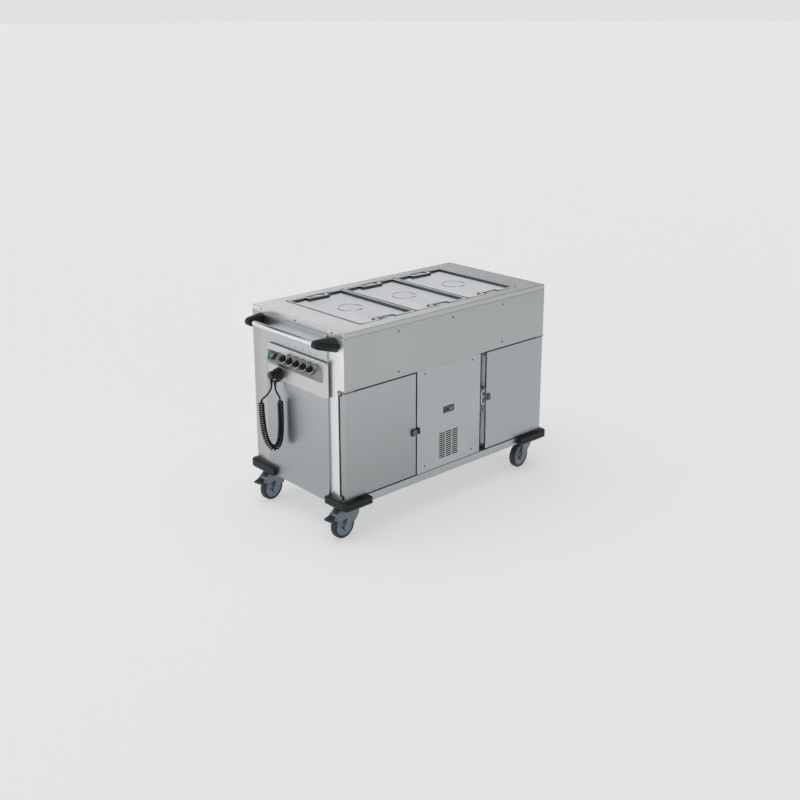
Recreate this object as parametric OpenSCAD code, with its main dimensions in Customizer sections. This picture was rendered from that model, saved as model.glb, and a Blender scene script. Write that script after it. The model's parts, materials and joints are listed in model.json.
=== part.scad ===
// Three-well hot and cold food serving trolley: stainless body, three lift-out
// food pans with lids, a heated and a chilled cabinet, a control console on the
// handle end, a curly mains lead and four swivel casters.

/* [Body] */
// Length of the body between its end faces
body_l = 1270; // [1262:1:1290]
// Width of the body from front to back
body_w = 660; // [655:1:680]
// Height of the worktop above the floor
body_h = 950; // [945:1:965]
// Thickness of the sheet steel
sheet = 1.5; // [1.2:0.1:1.8]
// Height of the folded edge of the worktop
skirt_h = 25; // [22:1:28]
// How far the pressed centre of an end panel stands proud
end_proud = 8; // [6:1:9]

/* [Food pans] */
// Length of a pan along the trolley
pan_l = 325; // [323:1:325]
// Width of a pan from front to back
pan_w = 530; // [526:1:530]
// Distance between the centres of neighbouring pans
pan_pitch = 330; // [330:1:332]
// Distance from the handle end to the first pan
pan_x = 145; // [140:1:150]
// Depth of a pan under its rim
pan_depth = 150; // [100:5:150]

/* [Doors] */
// Length of a door
door_l = 411; // [405:1:412]
// Thickness of a door
door_t = 35; // [33:1:35]
// Height of a door's bottom edge above the floor
door_z = 195.5; // [195:0.5:198]
// Height of a door
door_h = 489; // [485:1:489]

/* [Control console] */
// Distance between neighbouring knobs
knob_pitch = 49; // [44:1:50]
// Radius of a knob
knob_r = 19; // [16:0.5:20]
// How far the console reaches out of its panel
console_out = 33; // [32:1:36]

/* [Mains lead] */
// Diameter of the lead
lead_d = 8; // [7:0.5:9]
// Outer diameter of its curly stretch
curl_d = 30; // [27:1:31]

/* [Push handle] */
// Distance from the body to the centre of the handle tube
handle_reach = 74; // [70:1:80]
// Height of the handle tube above the floor
handle_z = 897; // [895:1:900]
// Radius of the handle tube
handle_r = 12.5; // [11:0.5:14]

/* [Casters] */
// Radius of a wheel
wheel_r = 62.5; // [60:0.5:62.5]
// Width of a wheel
wheel_w = 32; // [28:1:32]
// Distance from the swivel pin back to the axle
trail = 39; // [35:1:40]

/* [Hidden] */
$fn = 48;
steel = [0.72, 0.73, 0.74];
dark = [0.12, 0.13, 0.14];
caster_grey = [0.42, 0.47, 0.52];
bumper_out = 28;
bumper_h = 36;
cap_r = 18;
// Where the free stretch of the handle tube starts
grip_y = 104;
cap_l = 32;
// The origin is on the floor, under the middle of everything but the lead
left_x = (handle_reach + cap_r - bumper_out - body_l) / 2;
front_y = -body_w / 2;
base_z = 154;
rail_h = 36;
rail_w = 30;
rail_t = 2;
rail_top = base_z + rail_h;
upper_z = 690;
skirt_z = body_h - skirt_h;
post_l = 40;
post_y = 38;
front_post_y = 96;
back_post_y = body_w - 100;
panel_y = 106;
// Opening of the worktop and the ledge that the pans rest on
ledge_z = body_h - 14;
mouth = [pan_x - 3, (body_w - pan_w) / 2 - 3];
mouth_l = 2 * pan_pitch + pan_l + 6;
mouth_w = pan_w + 6;
tank_l = 308;
tank_w = 511;
tank_z = 722;
pan_body_l = 299;
pan_body_w = 503;
rim_t = 1.5;
// Raised grip at each end of a pan, in the lid's notch
grip_l = 91;
grip_w = 26;
grip_top = 948;
// Shape of a lid
lid_z = ledge_z + rim_t;
lid_panel_z = body_h - 9.5;
lid_edge = 14;
notch_l = 95;
notch_w = 28;
dish_r = 52;
dish_depth = 25;
// Door hinge pins stand on the end faces, in the plane of the doors' backs
pin_y = 34;
pin_r = 4;
bush_r = 9;
run_fit = 0.06;
bracket_h = 5;
bush_h = 7;
lug_h = 5;
gasket_t = 1.3;
// Span of the front panel between the doors
centre_x = 419;
centre_l = 409;
centre_z = 192;
centre_h = 497.6;
// Grille and thermostat display in that panel
grille = [560, 232];
slot = [36, 5];
slot_pitch = [42, 10];
slot_n = [3, 13];
display = [585.5, 452.5];
display_l = 65;
display_h = 27;
right_door_l = door_l - 11;
hot_frame_l = door_l;
cold_frame_l = door_l + 26;
liner_y = 36.5;
liner_w = 600;
hot_x = 42;
liner_l = 360;
liner_z = 196;
liner_h = 488;
runner_w = 14;
shelf_n = 7;
shelf_pitch = 62;
// Control box and the wedge-shaped console on it
box_x = -20;
box_y = 96;
box_l = 424;
box_z = 641;
box_h = 163;
console_y = 123;
console_l = 392;
console_top = 773;
console_lip = 739;
console_foot = 707;
end_taper = 34;
face_tilt = atan2(console_top - console_lip, console_out);
face_l = norm([console_out, console_top - console_lip]);
first_knob_y = 377;
knob_up = 0.5;
shaft_r = 3;
switch_y = 460;
switch_l = 42;
switch_w = 30;
switch_tilt = 7;
// Dummy socket that parks the plug
holder_y = 436;
holder_z = 675;
plug_r = 19;
plug_l = 51;
plug_drop = [-64, 438];
// Casters: swivel pins at the four corners, each turned a little
caster_pos = [[58, 56], [58, body_w - 66], [body_l - 58, 56], [body_l - 58, body_w - 66]];
caster_yaw = [6, 10, 7, 16];
plate_z = 151;
fork_top = 148.5;
axle_r = 8;
cheek_y = 17.5;
cheek_t = 6.5;
pedal_pin = [-97, 112];
// Arms of the corner bumpers along the front or back and along the end
bumper_arms = [[127, 117], [127, 160], [169, 117], [169, 160]];
// Route of the lead from the parked plug to the curly stretch
cord_side = [0.68, 0.73, 0];
plug_lead_route = [[-64, 438, 626], [-65, 440, 616], [-67, 445, 604], [-71, 451, 592],
    [-75, 459, 580], [-80, 468, 569], [-85, 477, 560], [-88, 483, 552], [-90, 486, 542]];
// Route of the lead from the gland to the curly stretch
box_lead_route = [[-34, 452, 612], [-34, 452, 605], [-34, 450, 597], [-34, 445, 589],
    [-34, 437, 581], [-34, 428, 574], [-34, 421, 567], [-35, 418, 556]];
// Route of the middle of the curly stretch
coil_route = [[-90, 486, 546], [-91, 484, 520], [-92, 481, 491], [-92, 478, 463],
    [-92, 474, 435], [-91, 470, 407], [-88, 465, 381], [-84, 459, 359], [-77, 452, 341],
    [-69, 445, 330], [-60, 438, 327], [-51, 431, 332], [-44, 426, 346], [-39, 422, 366],
    [-36, 420, 391], [-35, 418, 420], [-34, 417, 452], [-34, 417, 486], [-34, 417, 520],
    [-35, 418, 558]];

// Moves a shape drawn from the lower front corner of the handle end to its place
module cart() translate([left_x, front_y, 0]) children();

// Flat outline with round corners, drawn from its lower left corner
module rounded(l, w, r) {
    translate([r, 0]) square([l - 2 * r, w]);
    translate([0, r]) square([l, w - 2 * r]);
    for (x = [r, l - r], y = [r, w - r]) translate([x, y]) circle(r);
}

// Hollow box of thin sheet
module shell_box(size, t = sheet) difference() {
    cube(size);
    translate([t, t, t]) cube(size - [2 * t, 2 * t, 2 * t]);
}

// Swaps a shape to the far end of the body
module far_end() translate([body_l, 0, 0]) mirror([1, 0, 0]) children();

// Draws a shape at the origin and again at the far end
module both_ends() {
    children();
    far_end() children();
}

// Direction of travel at one point of a route
function heading(p, i) =
    let (d = p[min(i + 1, len(p) - 1)] - p[max(i - 1, 0)]) d / norm(d);

// One ring of points round a route
function ring(p, i, r, n) =
    let (t = heading(p, i), c = cross(cord_side, t), u = c / norm(c), v = cross(t, u))
    [for (k = [0:n - 1]) p[i] + r * (cos(360 * k / n) * u + sin(360 * k / n) * v)];

// Closed tube along a route
module tube(p, r, n) {
    last = (len(p) - 1) * n;
    sides = [for (i = [0:len(p) - 2], k = [0:n - 1])
        [i * n + k, i * n + (k + 1) % n, (i + 1) * n + (k + 1) % n, (i + 1) * n + k]];
    ends = [[for (k = [n - 1:-1:0]) k], [for (k = [0:n - 1]) last + k]];
    polyhedron([for (i = [0:len(p) - 1]) each ring(p, i, r, n)], concat(sides, ends));
}

// Floor pan, the folded channel rail round it, and two cross webs
module base_frame() cart() color(steel) {
    difference() {
        translate([0, 0, base_z]) cube([body_l, body_w, rail_h]);
        translate([rail_t, rail_t, base_z + rail_t])
            cube([body_l - 2 * rail_t, body_w - 2 * rail_t, rail_h - 2 * rail_t]);
        translate([rail_w, rail_w, base_z + rail_t]) cube([body_l - 2 * rail_w, body_w - 2 * rail_w, rail_h]);
    }
    for (x = [centre_x - 10, centre_x + centre_l + 10])
        translate([x, rail_t - 1, base_z + 1]) cube([rail_t, body_w - 2 * rail_t + 2, rail_h - 2]);
}

// Four folded corner posts
module corner_posts() cart() color(steel) both_ends() {
    difference() {
        union() {
            translate([0, post_y, rail_top]) cube([post_l, front_post_y - post_y, skirt_z - rail_top]);
            translate([0, sheet, upper_z + sheet]) cube([post_l, post_y, skirt_z - upper_z - sheet]);
        }
        translate([sheet, post_y + sheet, rail_top - 1])
            cube([post_l - 2 * sheet, front_post_y - post_y - 2 * sheet, skirt_z]);
        translate([0, pin_y, rail_top - 1]) cylinder(r = bush_r + 1, h = upper_z - rail_top + 1);
    }
    difference() {
        translate([0, back_post_y, rail_top])
            cube([post_l, body_w - sheet - back_post_y, skirt_z - rail_top]);
        translate([sheet, back_post_y + sheet, rail_top - 1])
            cube([post_l - 2 * sheet, body_w - back_post_y - 3 * sheet, skirt_z]);
    }
}

// End panel: a flat skin with a proud, round-edged pressing
module end_panel() {
    proud_w = back_post_y - panel_y;
    translate([0, front_post_y, rail_top])
        cube([sheet, back_post_y - front_post_y, skirt_z - rail_top]);
    translate([-end_proud, panel_y, base_z]) difference() {
        linear_extrude(skirt_z - base_z) rounded(2 * end_proud, proud_w, 5);
        translate([sheet, sheet, sheet])
            cube([2 * end_proud, proud_w - 2 * sheet, skirt_z - base_z - 2 * sheet]);
        translate([end_proud, -1, -1]) cube([2 * end_proud, proud_w + 2, skirt_z]);
    }
}
module left_end_panel() cart() color(steel) end_panel();
module right_end_panel() cart() color(steel) far_end() end_panel();

// Plain skin of the back
module back_panel() cart() color(steel)
    translate([0, body_w - sheet, rail_top]) cube([body_l, sheet, skirt_z - rail_top]);

// Folded panel over the doors
module upper_front_panel() cart() color(steel) {
    translate([0, 0, upper_z]) cube([body_l, sheet, skirt_z - upper_z]);
    translate([0, 0, upper_z]) cube([body_l, post_y - 2, sheet]);
}

// Front cover of the machine compartment, with a louvred grille
module centre_front_panel() cart() color(steel) difference() {
    translate([centre_x, 1, centre_z]) cube([centre_l, door_t, centre_h]);
    translate([centre_x + sheet, 1 + sheet, centre_z + sheet])
        cube([centre_l - 2 * sheet, door_t, centre_h - 2 * sheet]);
    translate([display.x, 0, display.y]) cube([display_l, 4, display_h]);
    for (i = [0:slot_n.x - 1], k = [0:slot_n.y - 1])
        translate([grille.x + slot_pitch.x * i, 0, grille.y + slot_pitch.y * k])
            cube([slot.x, 4, slot.y]);
}

// Worktop with its folded edges and the mouth over the wells
module deck_top() cart() color(steel) difference() {
    union() {
        difference() {
            translate([0, 0, skirt_z]) cube([body_l, body_w, skirt_h]);
            translate([sheet, sheet, skirt_z - 1])
                cube([body_l - 2 * sheet, body_w - 2 * sheet, skirt_h - 1]);
        }
        translate([mouth.x - sheet, mouth.y - sheet, ledge_z])
            cube([mouth_l + 2 * sheet, mouth_w + 2 * sheet, body_h - ledge_z - 1]);
    }
    translate([mouth.x, mouth.y, ledge_z - 1]) cube([mouth_l, mouth_w, 20]);
}

// Draws a shape at the middle of a pan's place
module at_pan(k) translate([pan_x + pan_l / 2 + pan_pitch * k, body_w / 2, 0]) children();

// Centred upright block with round corners
module block(l, w, r, z0, z1) translate([-l / 2, -w / 2, z0]) linear_extrude(z1 - z0) rounded(l, w, r);

// Three deep tanks, each hung from its own flange
module wells() cart() color(steel) for (k = [0:2]) at_pan(k) difference() {
    union() {
        translate([0, 0, ledge_z - sheet / 2])
            cube([pan_pitch - 0.4, mouth_w + 8, sheet], center = true);
        block(tank_l, tank_w, 24, tank_z, ledge_z);
    }
    block(tank_l - 2 * sheet, tank_w - 2 * sheet, 24 - sheet, tank_z + sheet, ledge_z + 1);
}

// Lift-out food pan
module pan(k) at_pan(k) {
    difference() {
        union() {
            block(pan_l, pan_w, 10, ledge_z, lid_z);
            block(pan_body_l, pan_body_w, 26, lid_z - pan_depth, lid_z);
        }
        block(pan_body_l - 2 * sheet, pan_body_w - 2 * sheet, 24.5, lid_z - pan_depth + sheet, lid_z + 1);
    }
    for (s = [0, 1]) mirror([0, s, 0]) translate([-grip_l / 2, pan_w / 2 - grip_w, 0]) {
        translate([0, 0, grip_top - sheet]) cube([grip_l, grip_w, sheet]);
        translate([0, grip_w - sheet, ledge_z]) cube([grip_l, sheet, grip_top - ledge_z]);
    }
}
module pan_1() cart() color("silver") pan(0);
module pan_2() cart() color("silver") pan(1);
module pan_3() cart() color("silver") pan(2);

// Outline of a lid drawn in by a margin, with a notch for the pan's grips at each end
module lid_outline(t) difference() {
    translate([-pan_l / 2 + t, -pan_w / 2 + t]) rounded(pan_l - 2 * t, pan_w - 2 * t, max(10 - t, 3));
    for (s = [-1, 1]) translate([0, s * pan_w / 2])
        square([notch_l + 2 * t, 2 * (notch_w + t)], center = true);
}

// Lid: raised edge, sunken panel and a round hand recess with a bar across it
module lid(k) at_pan(k) {
    translate([0, 0, lid_z]) linear_extrude(body_h - lid_z) difference() {
        lid_outline(0);
        lid_outline(sheet);
    }
    translate([0, 0, body_h - sheet]) linear_extrude(sheet) difference() {
        lid_outline(0);
        lid_outline(lid_edge);
    }
    translate([0, 0, lid_panel_z]) linear_extrude(body_h - lid_panel_z) difference() {
        lid_outline(lid_edge - sheet);
        lid_outline(lid_edge);
    }
    translate([0, 0, lid_panel_z]) linear_extrude(sheet) difference() {
        lid_outline(lid_edge - sheet);
        circle(dish_r);
    }
    translate([0, 0, lid_panel_z + sheet - dish_depth]) difference() {
        cylinder(r = dish_r + sheet, h = dish_depth);
        translate([0, 0, sheet]) cylinder(r = dish_r, h = dish_depth);
    }
    translate([-8, -dish_r - 1, lid_panel_z - 3]) cube([16, 2 * dish_r + 2, 3]);
}
module lid_1() cart() color("gainsboro") lid(0);
module lid_2() cart() color("gainsboro") lid(1);
module lid_3() cart() color("gainsboro") lid(2);

// Cabinet liner: an open-fronted box with a front frame
module liner(frame_l) difference() {
    union() {
        difference() {
            translate([0, liner_y, liner_z]) cube([liner_l, liner_w, liner_h]);
            translate([sheet, 0, liner_z + sheet])
                cube([liner_l - 2 * sheet, liner_y + liner_w - sheet, liner_h - 2 * sheet]);
        }
        difference() {
            translate([3 - hot_x, liner_y, rail_top + 2]) cube([frame_l, sheet, upper_z - rail_top - 4]);
            translate([sheet, 0, liner_z + sheet]) cube([liner_l - 2 * sheet, 60, liner_h - 2 * sheet]);
        }
    }
    translate([-hot_x, pin_y, 0]) cylinder(r = bush_r + 1, h = body_h);
}
module hot_liner() cart() color("lightgray") translate([hot_x, 0, 0]) liner(hot_frame_l);
module cold_liner() cart() color("lightgray") far_end() translate([hot_x, 0, 0])
    liner(cold_frame_l);

// Pairs of runners that carry pans in both cabinets
module shelf_runners() cart() color("silver") both_ends()
    for (x = [hot_x + sheet, hot_x + liner_l - sheet - runner_w], k = [0:shelf_n - 1])
        translate([x, liner_y + 20, liner_z + 50 + shelf_pitch * k]) cube([runner_w, liner_w - 60, 4]);

// Hinge plates over and under both doors, each with its pin
module hinge_bracket() {
    linear_extrude(bracket_h) {
        polygon([[-bush_r, 3], [50, 2], [50, 36], [0, 36], [-bush_r, pin_y]]);
        translate([0, pin_y]) circle(bush_r);
    }
}
module hinge_brackets() cart() color("darkgray") both_ends() {
    translate([0, 0, upper_z - bracket_h]) hinge_bracket();
    translate([0, pin_y, upper_z - bracket_h - bush_h - lug_h]) cylinder(r = pin_r, h = bush_h + lug_h + 1);
    translate([0, 0, rail_top]) hinge_bracket();
    translate([0, pin_y, rail_top + 1]) cylinder(r = pin_r, h = bracket_h + bush_h + lug_h - 1);
}

// Brass bushes between the hinge plates and the doors
module hinge_bushes() cart() color("goldenrod") both_ends()
    for (z = [upper_z - bracket_h - bush_h, rail_top + bracket_h])
        translate([0, pin_y, z]) difference() {
            cylinder(r = bush_r, h = bush_h - 0.3);
            translate([0, 0, -1]) cylinder(r = pin_r, h = bush_h + 2);
        }

// Door: a closed hollow skin with a lug round each hinge pin
module door(l) difference() {
    union() {
        difference() {
            translate([1.5, 0, door_z]) shell_box([l - 1.5, door_t, door_h]);
            for (z = [door_z - 1, upper_z - bracket_h - bush_h - 0.3])
                translate([-1, 20, z]) cube([bush_r + 3, door_t, 8 + bush_h]);
        }
        for (z = [rail_top + bracket_h + bush_h + 0.3, upper_z - bracket_h - bush_h - lug_h - 0.3])
            translate([0, pin_y, z]) {
                cylinder(r = 8, h = lug_h);
                translate([0, -10, 0]) cube([14, 11, lug_h]);
            }
    }
    translate([0, pin_y, 0]) cylinder(r = pin_r + run_fit, h = body_h);
    translate([l / 2, door_t / 2, door_z - 1]) cylinder(r = 6, h = 4);
}
module left_door() cart() color(steel) door(door_l);
module right_door() cart() color(steel) far_end() door(right_door_l);

// Seal round the back of a door
module door_gasket(l) translate([16, door_t, 210]) rotate([90, 0, 0]) mirror([0, 0, 1])
    linear_extrude(gasket_t) difference() {
        rounded(l - 28, 460, 12);
        translate([12, 12]) rounded(l - 52, 436, 6);
    }
module left_door_gasket() cart() color("lavender") door_gasket(door_l);
module right_door_gasket() cart() color("lavender") far_end() door_gasket(right_door_l);

// Catch at the free edge of a door: a face plate and what reaches past the edge
left_latch = [397, 407];
right_latch = [882, 461];
latch_h = 32;
module left_latch_case() cart() color(dark) difference() {
    union() {
        translate([384, -5, left_latch.y - latch_h / 2]) cube([27, 5, latch_h]);
        translate([410, -5, left_latch.y - 14]) cube([23, 5, 28]);
    }
    translate([left_latch.x, 1, left_latch.y]) rotate([90, 0, 0]) cylinder(r = pin_r + run_fit, h = 8);
}
module right_latch_case() cart() color(dark) difference() {
    union() {
        translate([870, -5, right_latch.y - latch_h / 2]) cube([22, 5, latch_h]);
        translate([862, -5, right_latch.y - latch_h / 2]) cube([8, 10, latch_h]);
        translate([833, 3, 392]) cube([37, 27, 117]);
    }
    translate([right_latch.x, 1, right_latch.y]) rotate([90, 0, 0]) cylinder(r = pin_r + run_fit, h = 8);
}

// Turn knob of a latch on its pin
module latch_knob(l) {
    translate([-l / 2, -13, -latch_h / 2]) cube([l, 7.7, latch_h]);
    translate([0, -0.4, 0]) rotate([90, 0, 0]) cylinder(r = pin_r, h = 5);
}
module left_latch_knob() cart() color(dark)
    translate([left_latch.x, 0, left_latch.y]) latch_knob(25);
module right_latch_knob() cart() color(dark)
    translate([right_latch.x, 0, right_latch.y]) latch_knob(18);

// Raised box on the handle end that carries the console
module control_box() cart() color(steel) translate([box_x, box_y, box_z]) difference() {
    rotate([90, 0, 90]) linear_extrude(-end_proud - box_x) rounded(box_l, box_h, 12);
    translate([sheet, 0, 0]) rotate([90, 0, 90]) linear_extrude(20)
        translate([sheet, sheet]) rounded(box_l - 2 * sheet, box_h - 2 * sheet, 12 - sheet);
    translate([-1, console_y - box_y + 8, console_foot - box_z + 8])
        cube([4, console_l - 16, console_top - console_foot - 16]);
}

// Moves a shape to the sloping face of the console, with Z out of the face
module on_face(y) translate([box_x - console_out * knob_up, y, (console_top + console_lip) / 2])
    rotate([0, -face_tilt, 0]) children();

// Solid of the console, or of its hollow when drawn in by t, with tapered ends
module hopper(t) intersection() {
    translate([0, console_y + console_l, 0]) rotate([90, 0, 0]) linear_extrude(console_l) polygon([
        [box_x + t, console_top - 0.6 * t], [box_x - console_out + 1.6 * t, console_lip],
        [box_x + t, console_foot + 0.6 * t]]);
    linear_extrude(body_h) polygon([
        [box_x + 2 * t, console_y], [box_x, console_y + 1.4 * t],
        [box_x - console_out, console_y + end_taper + 1.4 * t],
        [box_x - console_out, console_y + console_l - end_taper - 1.4 * t],
        [box_x, console_y + console_l - 1.4 * t], [box_x + 2 * t, console_y + console_l]]);
}

// Sloping console with its knob bores and the frame of the main switch
module console() cart() color("gray") difference() {
    union() {
        hopper(0);
        on_face(switch_y) translate([-switch_w / 2 - 2, -switch_l / 2 - 2, -1])
            cube([switch_w + 4, switch_l + 4, 2.5]);
    }
    hopper(sheet);
    on_face(switch_y) translate([-switch_w / 2 - 1, -switch_l / 2 - 1, -14])
        cube([switch_w + 2, switch_l + 2, 30]);
    for (k = [0:4]) on_face(first_knob_y - knob_pitch * k) translate([0, 0, -14])
        cylinder(r = shaft_r + run_fit, h = 20);
}

// Control knob with its shaft
module knob(k) on_face(first_knob_y - knob_pitch * k) {
    translate([0, 0, 0.6]) cylinder(r = knob_r, h = 4);
    translate([0, 0, 4]) cylinder(r = knob_r - 4, h = 13);
    translate([-knob_r + 5, -3, 16]) cube([2 * knob_r - 10, 6, 4]);
    translate([0, 0, -12]) cylinder(r = shaft_r, h = 14);
}
module knob_1() cart() color(dark) knob(0);
module knob_2() cart() color(dark) knob(1);
module knob_3() cart() color(dark) knob(2);
module knob_4() cart() color(dark) knob(3);
module knob_5() cart() color(dark) knob(4);

// Rocker of the main switch, tipped to its off side
module main_switch() cart() color("green") on_face(switch_y) rotate([switch_tilt, 0, 0]) {
    translate([-switch_w / 2, -switch_l / 2, -5]) cube([switch_w, switch_l, 9]);
    rotate([0, 90, 0]) cylinder(r = 2.5, h = switch_w + 1.4, center = true);
}

// Thermostat display set in the front cover
module thermostat_display() cart() color(dark) {
    translate([display.x - 2, 0, display.y - 2]) cube([display_l + 4, 1, display_h + 4]);
    translate([display.x + 0.5, 1, display.y + 0.5]) cube([display_l - 1, 38, display_h - 1]);
}

// Round-headed screws of the front panels and of the worktop's edge
module panel_screws() cart() color("gray") {
    for (p = [[307, 902], [639, 902], [971, 902], [309, 717], [974, 717]])
        translate([p.x, 0, p.y]) rotate([90, 0, 0]) cylinder(r = 4.5, h = 1.8);
    for (p = [[467, 670], [772, 670], [467, 221], [772, 221]])
        translate([p.x, 1, p.y]) rotate([90, 0, 0]) cylinder(r = 4.5, h = 1.8);
    for (y = [79, 335, 591]) both_ends() translate([0, y, skirt_z + 13])
        rotate([0, -90, 0]) cylinder(r = 4.5, h = 1.8);
}

// Dummy socket: flange, collar and the recess that takes the plug
module plug_holder() cart() color(dark) translate([box_x, holder_y, holder_z])
    rotate([0, -90, 0]) difference() {
        union() {
            cylinder(r = 29, h = 6);
            cylinder(r = 25, h = 22);
        }
        translate([0, 0, 10]) cylinder(r = plug_r + 0.3, h = 20);
        for (s = [-1, 1]) translate([9.5 * s, 0, 2]) cylinder(r = 2.7, h = 20);
    }

// Angled mains plug with its two pins and its strain relief
module mains_plug() cart() color(dark) {
    translate([box_x, holder_y, holder_z]) rotate([0, -90, 0]) {
        translate([0, 0, 10.3]) cylinder(r = plug_r, h = plug_l - 10.3);
        translate([0, 0, plug_l]) cylinder(r = plug_r - 3, h = 5);
        for (s = [-1, 1]) translate([9.5 * s, 0, 3]) cylinder(r = 2.4, h = 8);
    }
    translate([plug_drop.x, plug_drop.y, 650]) cylinder(r = 8, h = 20);
    translate([plug_drop.x, plug_drop.y, 626]) cylinder(r1 = lead_d / 2 + 0.4, r2 = 7, h = 24);
}

// Gland under the control box with its strain relief
module cord_gland() cart() color(dark) {
    translate([-43, 443, 632]) cube([43 - end_proud, 18, 8.5]);
    translate([-34, 452, 612]) cylinder(r1 = lead_d / 2 + 0.4, r2 = 7, h = 20);
}

// Mains lead: two straight ends and the curly stretch between them as one fat tube
module mains_cord() cart() color(dark) {
    tube(plug_lead_route, lead_d / 2, 10);
    tube(box_lead_route, lead_d / 2, 10);
    tube(coil_route, curl_d / 2, 12);
}

// Moulded wedge between the body and one end of the handle tube
module handle_wedge() hull() {
    translate([-4, 0, 0]) rotate([90, 0, 90]) linear_extrude(4)
        polygon([[93, 862], [93, 919], [60, 921], [28, 900], [24, 884], [50, 859]]);
    translate([-handle_reach, grip_y, handle_z]) rotate([90, 0, 0])
        cylinder(r = cap_r, h = cap_l, $fn = 32);
}
module handle_brackets() cart() color(dark) difference() {
    union() {
        handle_wedge();
        translate([0, body_w, 0]) mirror([0, 1, 0]) handle_wedge();
    }
    along_handle() cylinder(r = handle_r, h = body_w - 2 * grip_y);
}
module along_handle() translate([-handle_reach, body_w - grip_y, handle_z]) rotate([90, 0, 0]) children();
module push_handle() cart() color("silver") along_handle() difference() {
    cylinder(r = handle_r, h = body_w - 2 * grip_y);
    translate([0, 0, -1]) cylinder(r = handle_r - sheet, h = body_w);
}

// Rubber bumper round one corner of the rail
module bumper(front, end) translate([0, 0, base_z]) linear_extrude(bumper_h) {
    translate([0, -bumper_out]) square([front, bumper_out]);
    translate([-bumper_out, 0]) square([bumper_out, end]);
    intersection() {
        circle(bumper_out);
        translate([-bumper_out, -bumper_out]) square(bumper_out);
    }
}
module bumpers() cart() color(dark) difference() {
    union() {
        bumper(bumper_arms[0].x, bumper_arms[0].y);
        translate([0, body_w, 0]) mirror([0, 1, 0]) bumper(bumper_arms[1].x, bumper_arms[1].y);
        far_end() bumper(bumper_arms[2].x, bumper_arms[2].y);
        far_end() translate([0, body_w, 0]) mirror([0, 1, 0]) bumper(bumper_arms[3].x, bumper_arms[3].y);
    }
    both_ends() translate([-end_proud, panel_y, base_z - 1])
        cube([2 * end_proud, back_post_y - panel_y, bumper_h + 2]);
}

// Moves a shape drawn round its swivel pin to one caster
module at_caster(k) cart() translate([caster_pos[k].x, caster_pos[k].y, 0])
    rotate([0, 0, caster_yaw[k]]) children();

// Top plates and swivel pins
module caster_plates() color("darkgray") for (k = [0:3]) at_caster(k) rotate([0, 0, -caster_yaw[k]]) {
    translate([-50, -38, plate_z]) cube([100, 76, base_z - plate_z]);
    translate([0, 0, fork_top - 12]) cylinder(r = axle_r, h = plate_z - fork_top + 12);
}

// Side view extruded across the middle plane of a caster
module across(w) translate([0, w / 2, 0]) rotate([90, 0, 0]) linear_extrude(w) children();

// Side view of one fork cheek, with the brake's hood on the braked ones
module cheek(braked) {
    translate([-trail, wheel_r]) circle(19);
    if (braked) {
        translate(pedal_pin) circle(9);
        polygon([[-57, 68], [-30, 96], [-52, 94], [-93, 103], [-104, 117], [-60, fork_top],
            [42, fork_top], [42, 100], [20, 70], [-20, 58]]);
    } else {
        polygon([[-57, 68], [-32, 104], [-38, fork_top], [36, fork_top], [34, 106], [-20, 58]]);
    }
}

// Fork: two cheeks, a crown with the swivel bore, and the axle
module caster_fork(k, braked) at_caster(k) color(caster_grey) difference() {
    union() {
        for (s = [-1, 1]) translate([0, s * (cheek_y + cheek_t / 2), 0]) across(cheek_t) cheek(braked);
        across(2 * cheek_y + cheek_t) polygon(braked
            ? [[-60, 131], [42, 131], [42, fork_top], [-60, fork_top], [-92, 119], [-88, 115]]
            : [[-34, 131], [35, 131], [36, fork_top], [-38, fork_top]]);
        translate([-trail, 0, wheel_r]) rotate([90, 0, 0])
            cylinder(r = axle_r, h = 2 * cheek_y + cheek_t, center = true);
    }
    translate([0, 0, fork_top - 13]) cylinder(r = axle_r + run_fit, h = 20);
    if (braked) translate([pedal_pin.x, 0, pedal_pin.y]) rotate([90, 0, 0])
        cylinder(r = pin_r + run_fit, h = 60, center = true);
}
module caster_fork_1() caster_fork(0, true);
module caster_fork_2() caster_fork(1, true);
module caster_fork_3() caster_fork(2, false);
module caster_fork_4() caster_fork(3, false);

// Wheel: tyre, disc and hub round the axle
module wheel(k) at_caster(k) color([0.25, 0.29, 0.32]) translate([-trail, 0, wheel_r])
    rotate([90, 0, 0]) difference() {
        union() {
            rotate_extrude() translate([40, -wheel_w / 2]) rounded(wheel_r - 40, wheel_w, 8);
            cylinder(r = 50, h = wheel_w - 6, center = true);
            cylinder(r = 18, h = wheel_w + 1, center = true);
        }
        cylinder(r = axle_r + run_fit, h = 60, center = true);
    }
module wheel_1() wheel(0);
module wheel_2() wheel(1);
module wheel_3() wheel(2);
module wheel_4() wheel(3);

// Foot pedal that locks a wheel
module brake_pedal(k) at_caster(k) color(dark) {
    across(2 * cheek_y - 1) {
        translate(pedal_pin) circle(6);
        polygon([[-98, 118], [-107, 119], [-107, 109], [-98, 106]]);
    }
    across(40) polygon([[-106.4, 119], [-128, 116], [-133, 111], [-132, 107], [-106.4, 109]]);
    translate([pedal_pin.x, 0, pedal_pin.y]) rotate([90, 0, 0])
        cylinder(r = pin_r, h = 2 * cheek_y + 2 * cheek_t, center = true);
}
module brake_pedal_1() brake_pedal(0);
module brake_pedal_2() brake_pedal(1);

// Hermetic compressor on its foot plate
module compressor() cart() color([0.15, 0.15, 0.16]) translate([640, 400, base_z + 2]) {
    translate([-95, -75, 0]) cube([190, 150, 4]);
    cylinder(r = 75, h = 100);
    translate([0, 0, 100]) sphere(r = 75);
    translate([60, 20, 60]) cylinder(r = 5, h = 140);
    translate([40, -50, 60]) cylinder(r = 4, h = 130);
}

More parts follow.
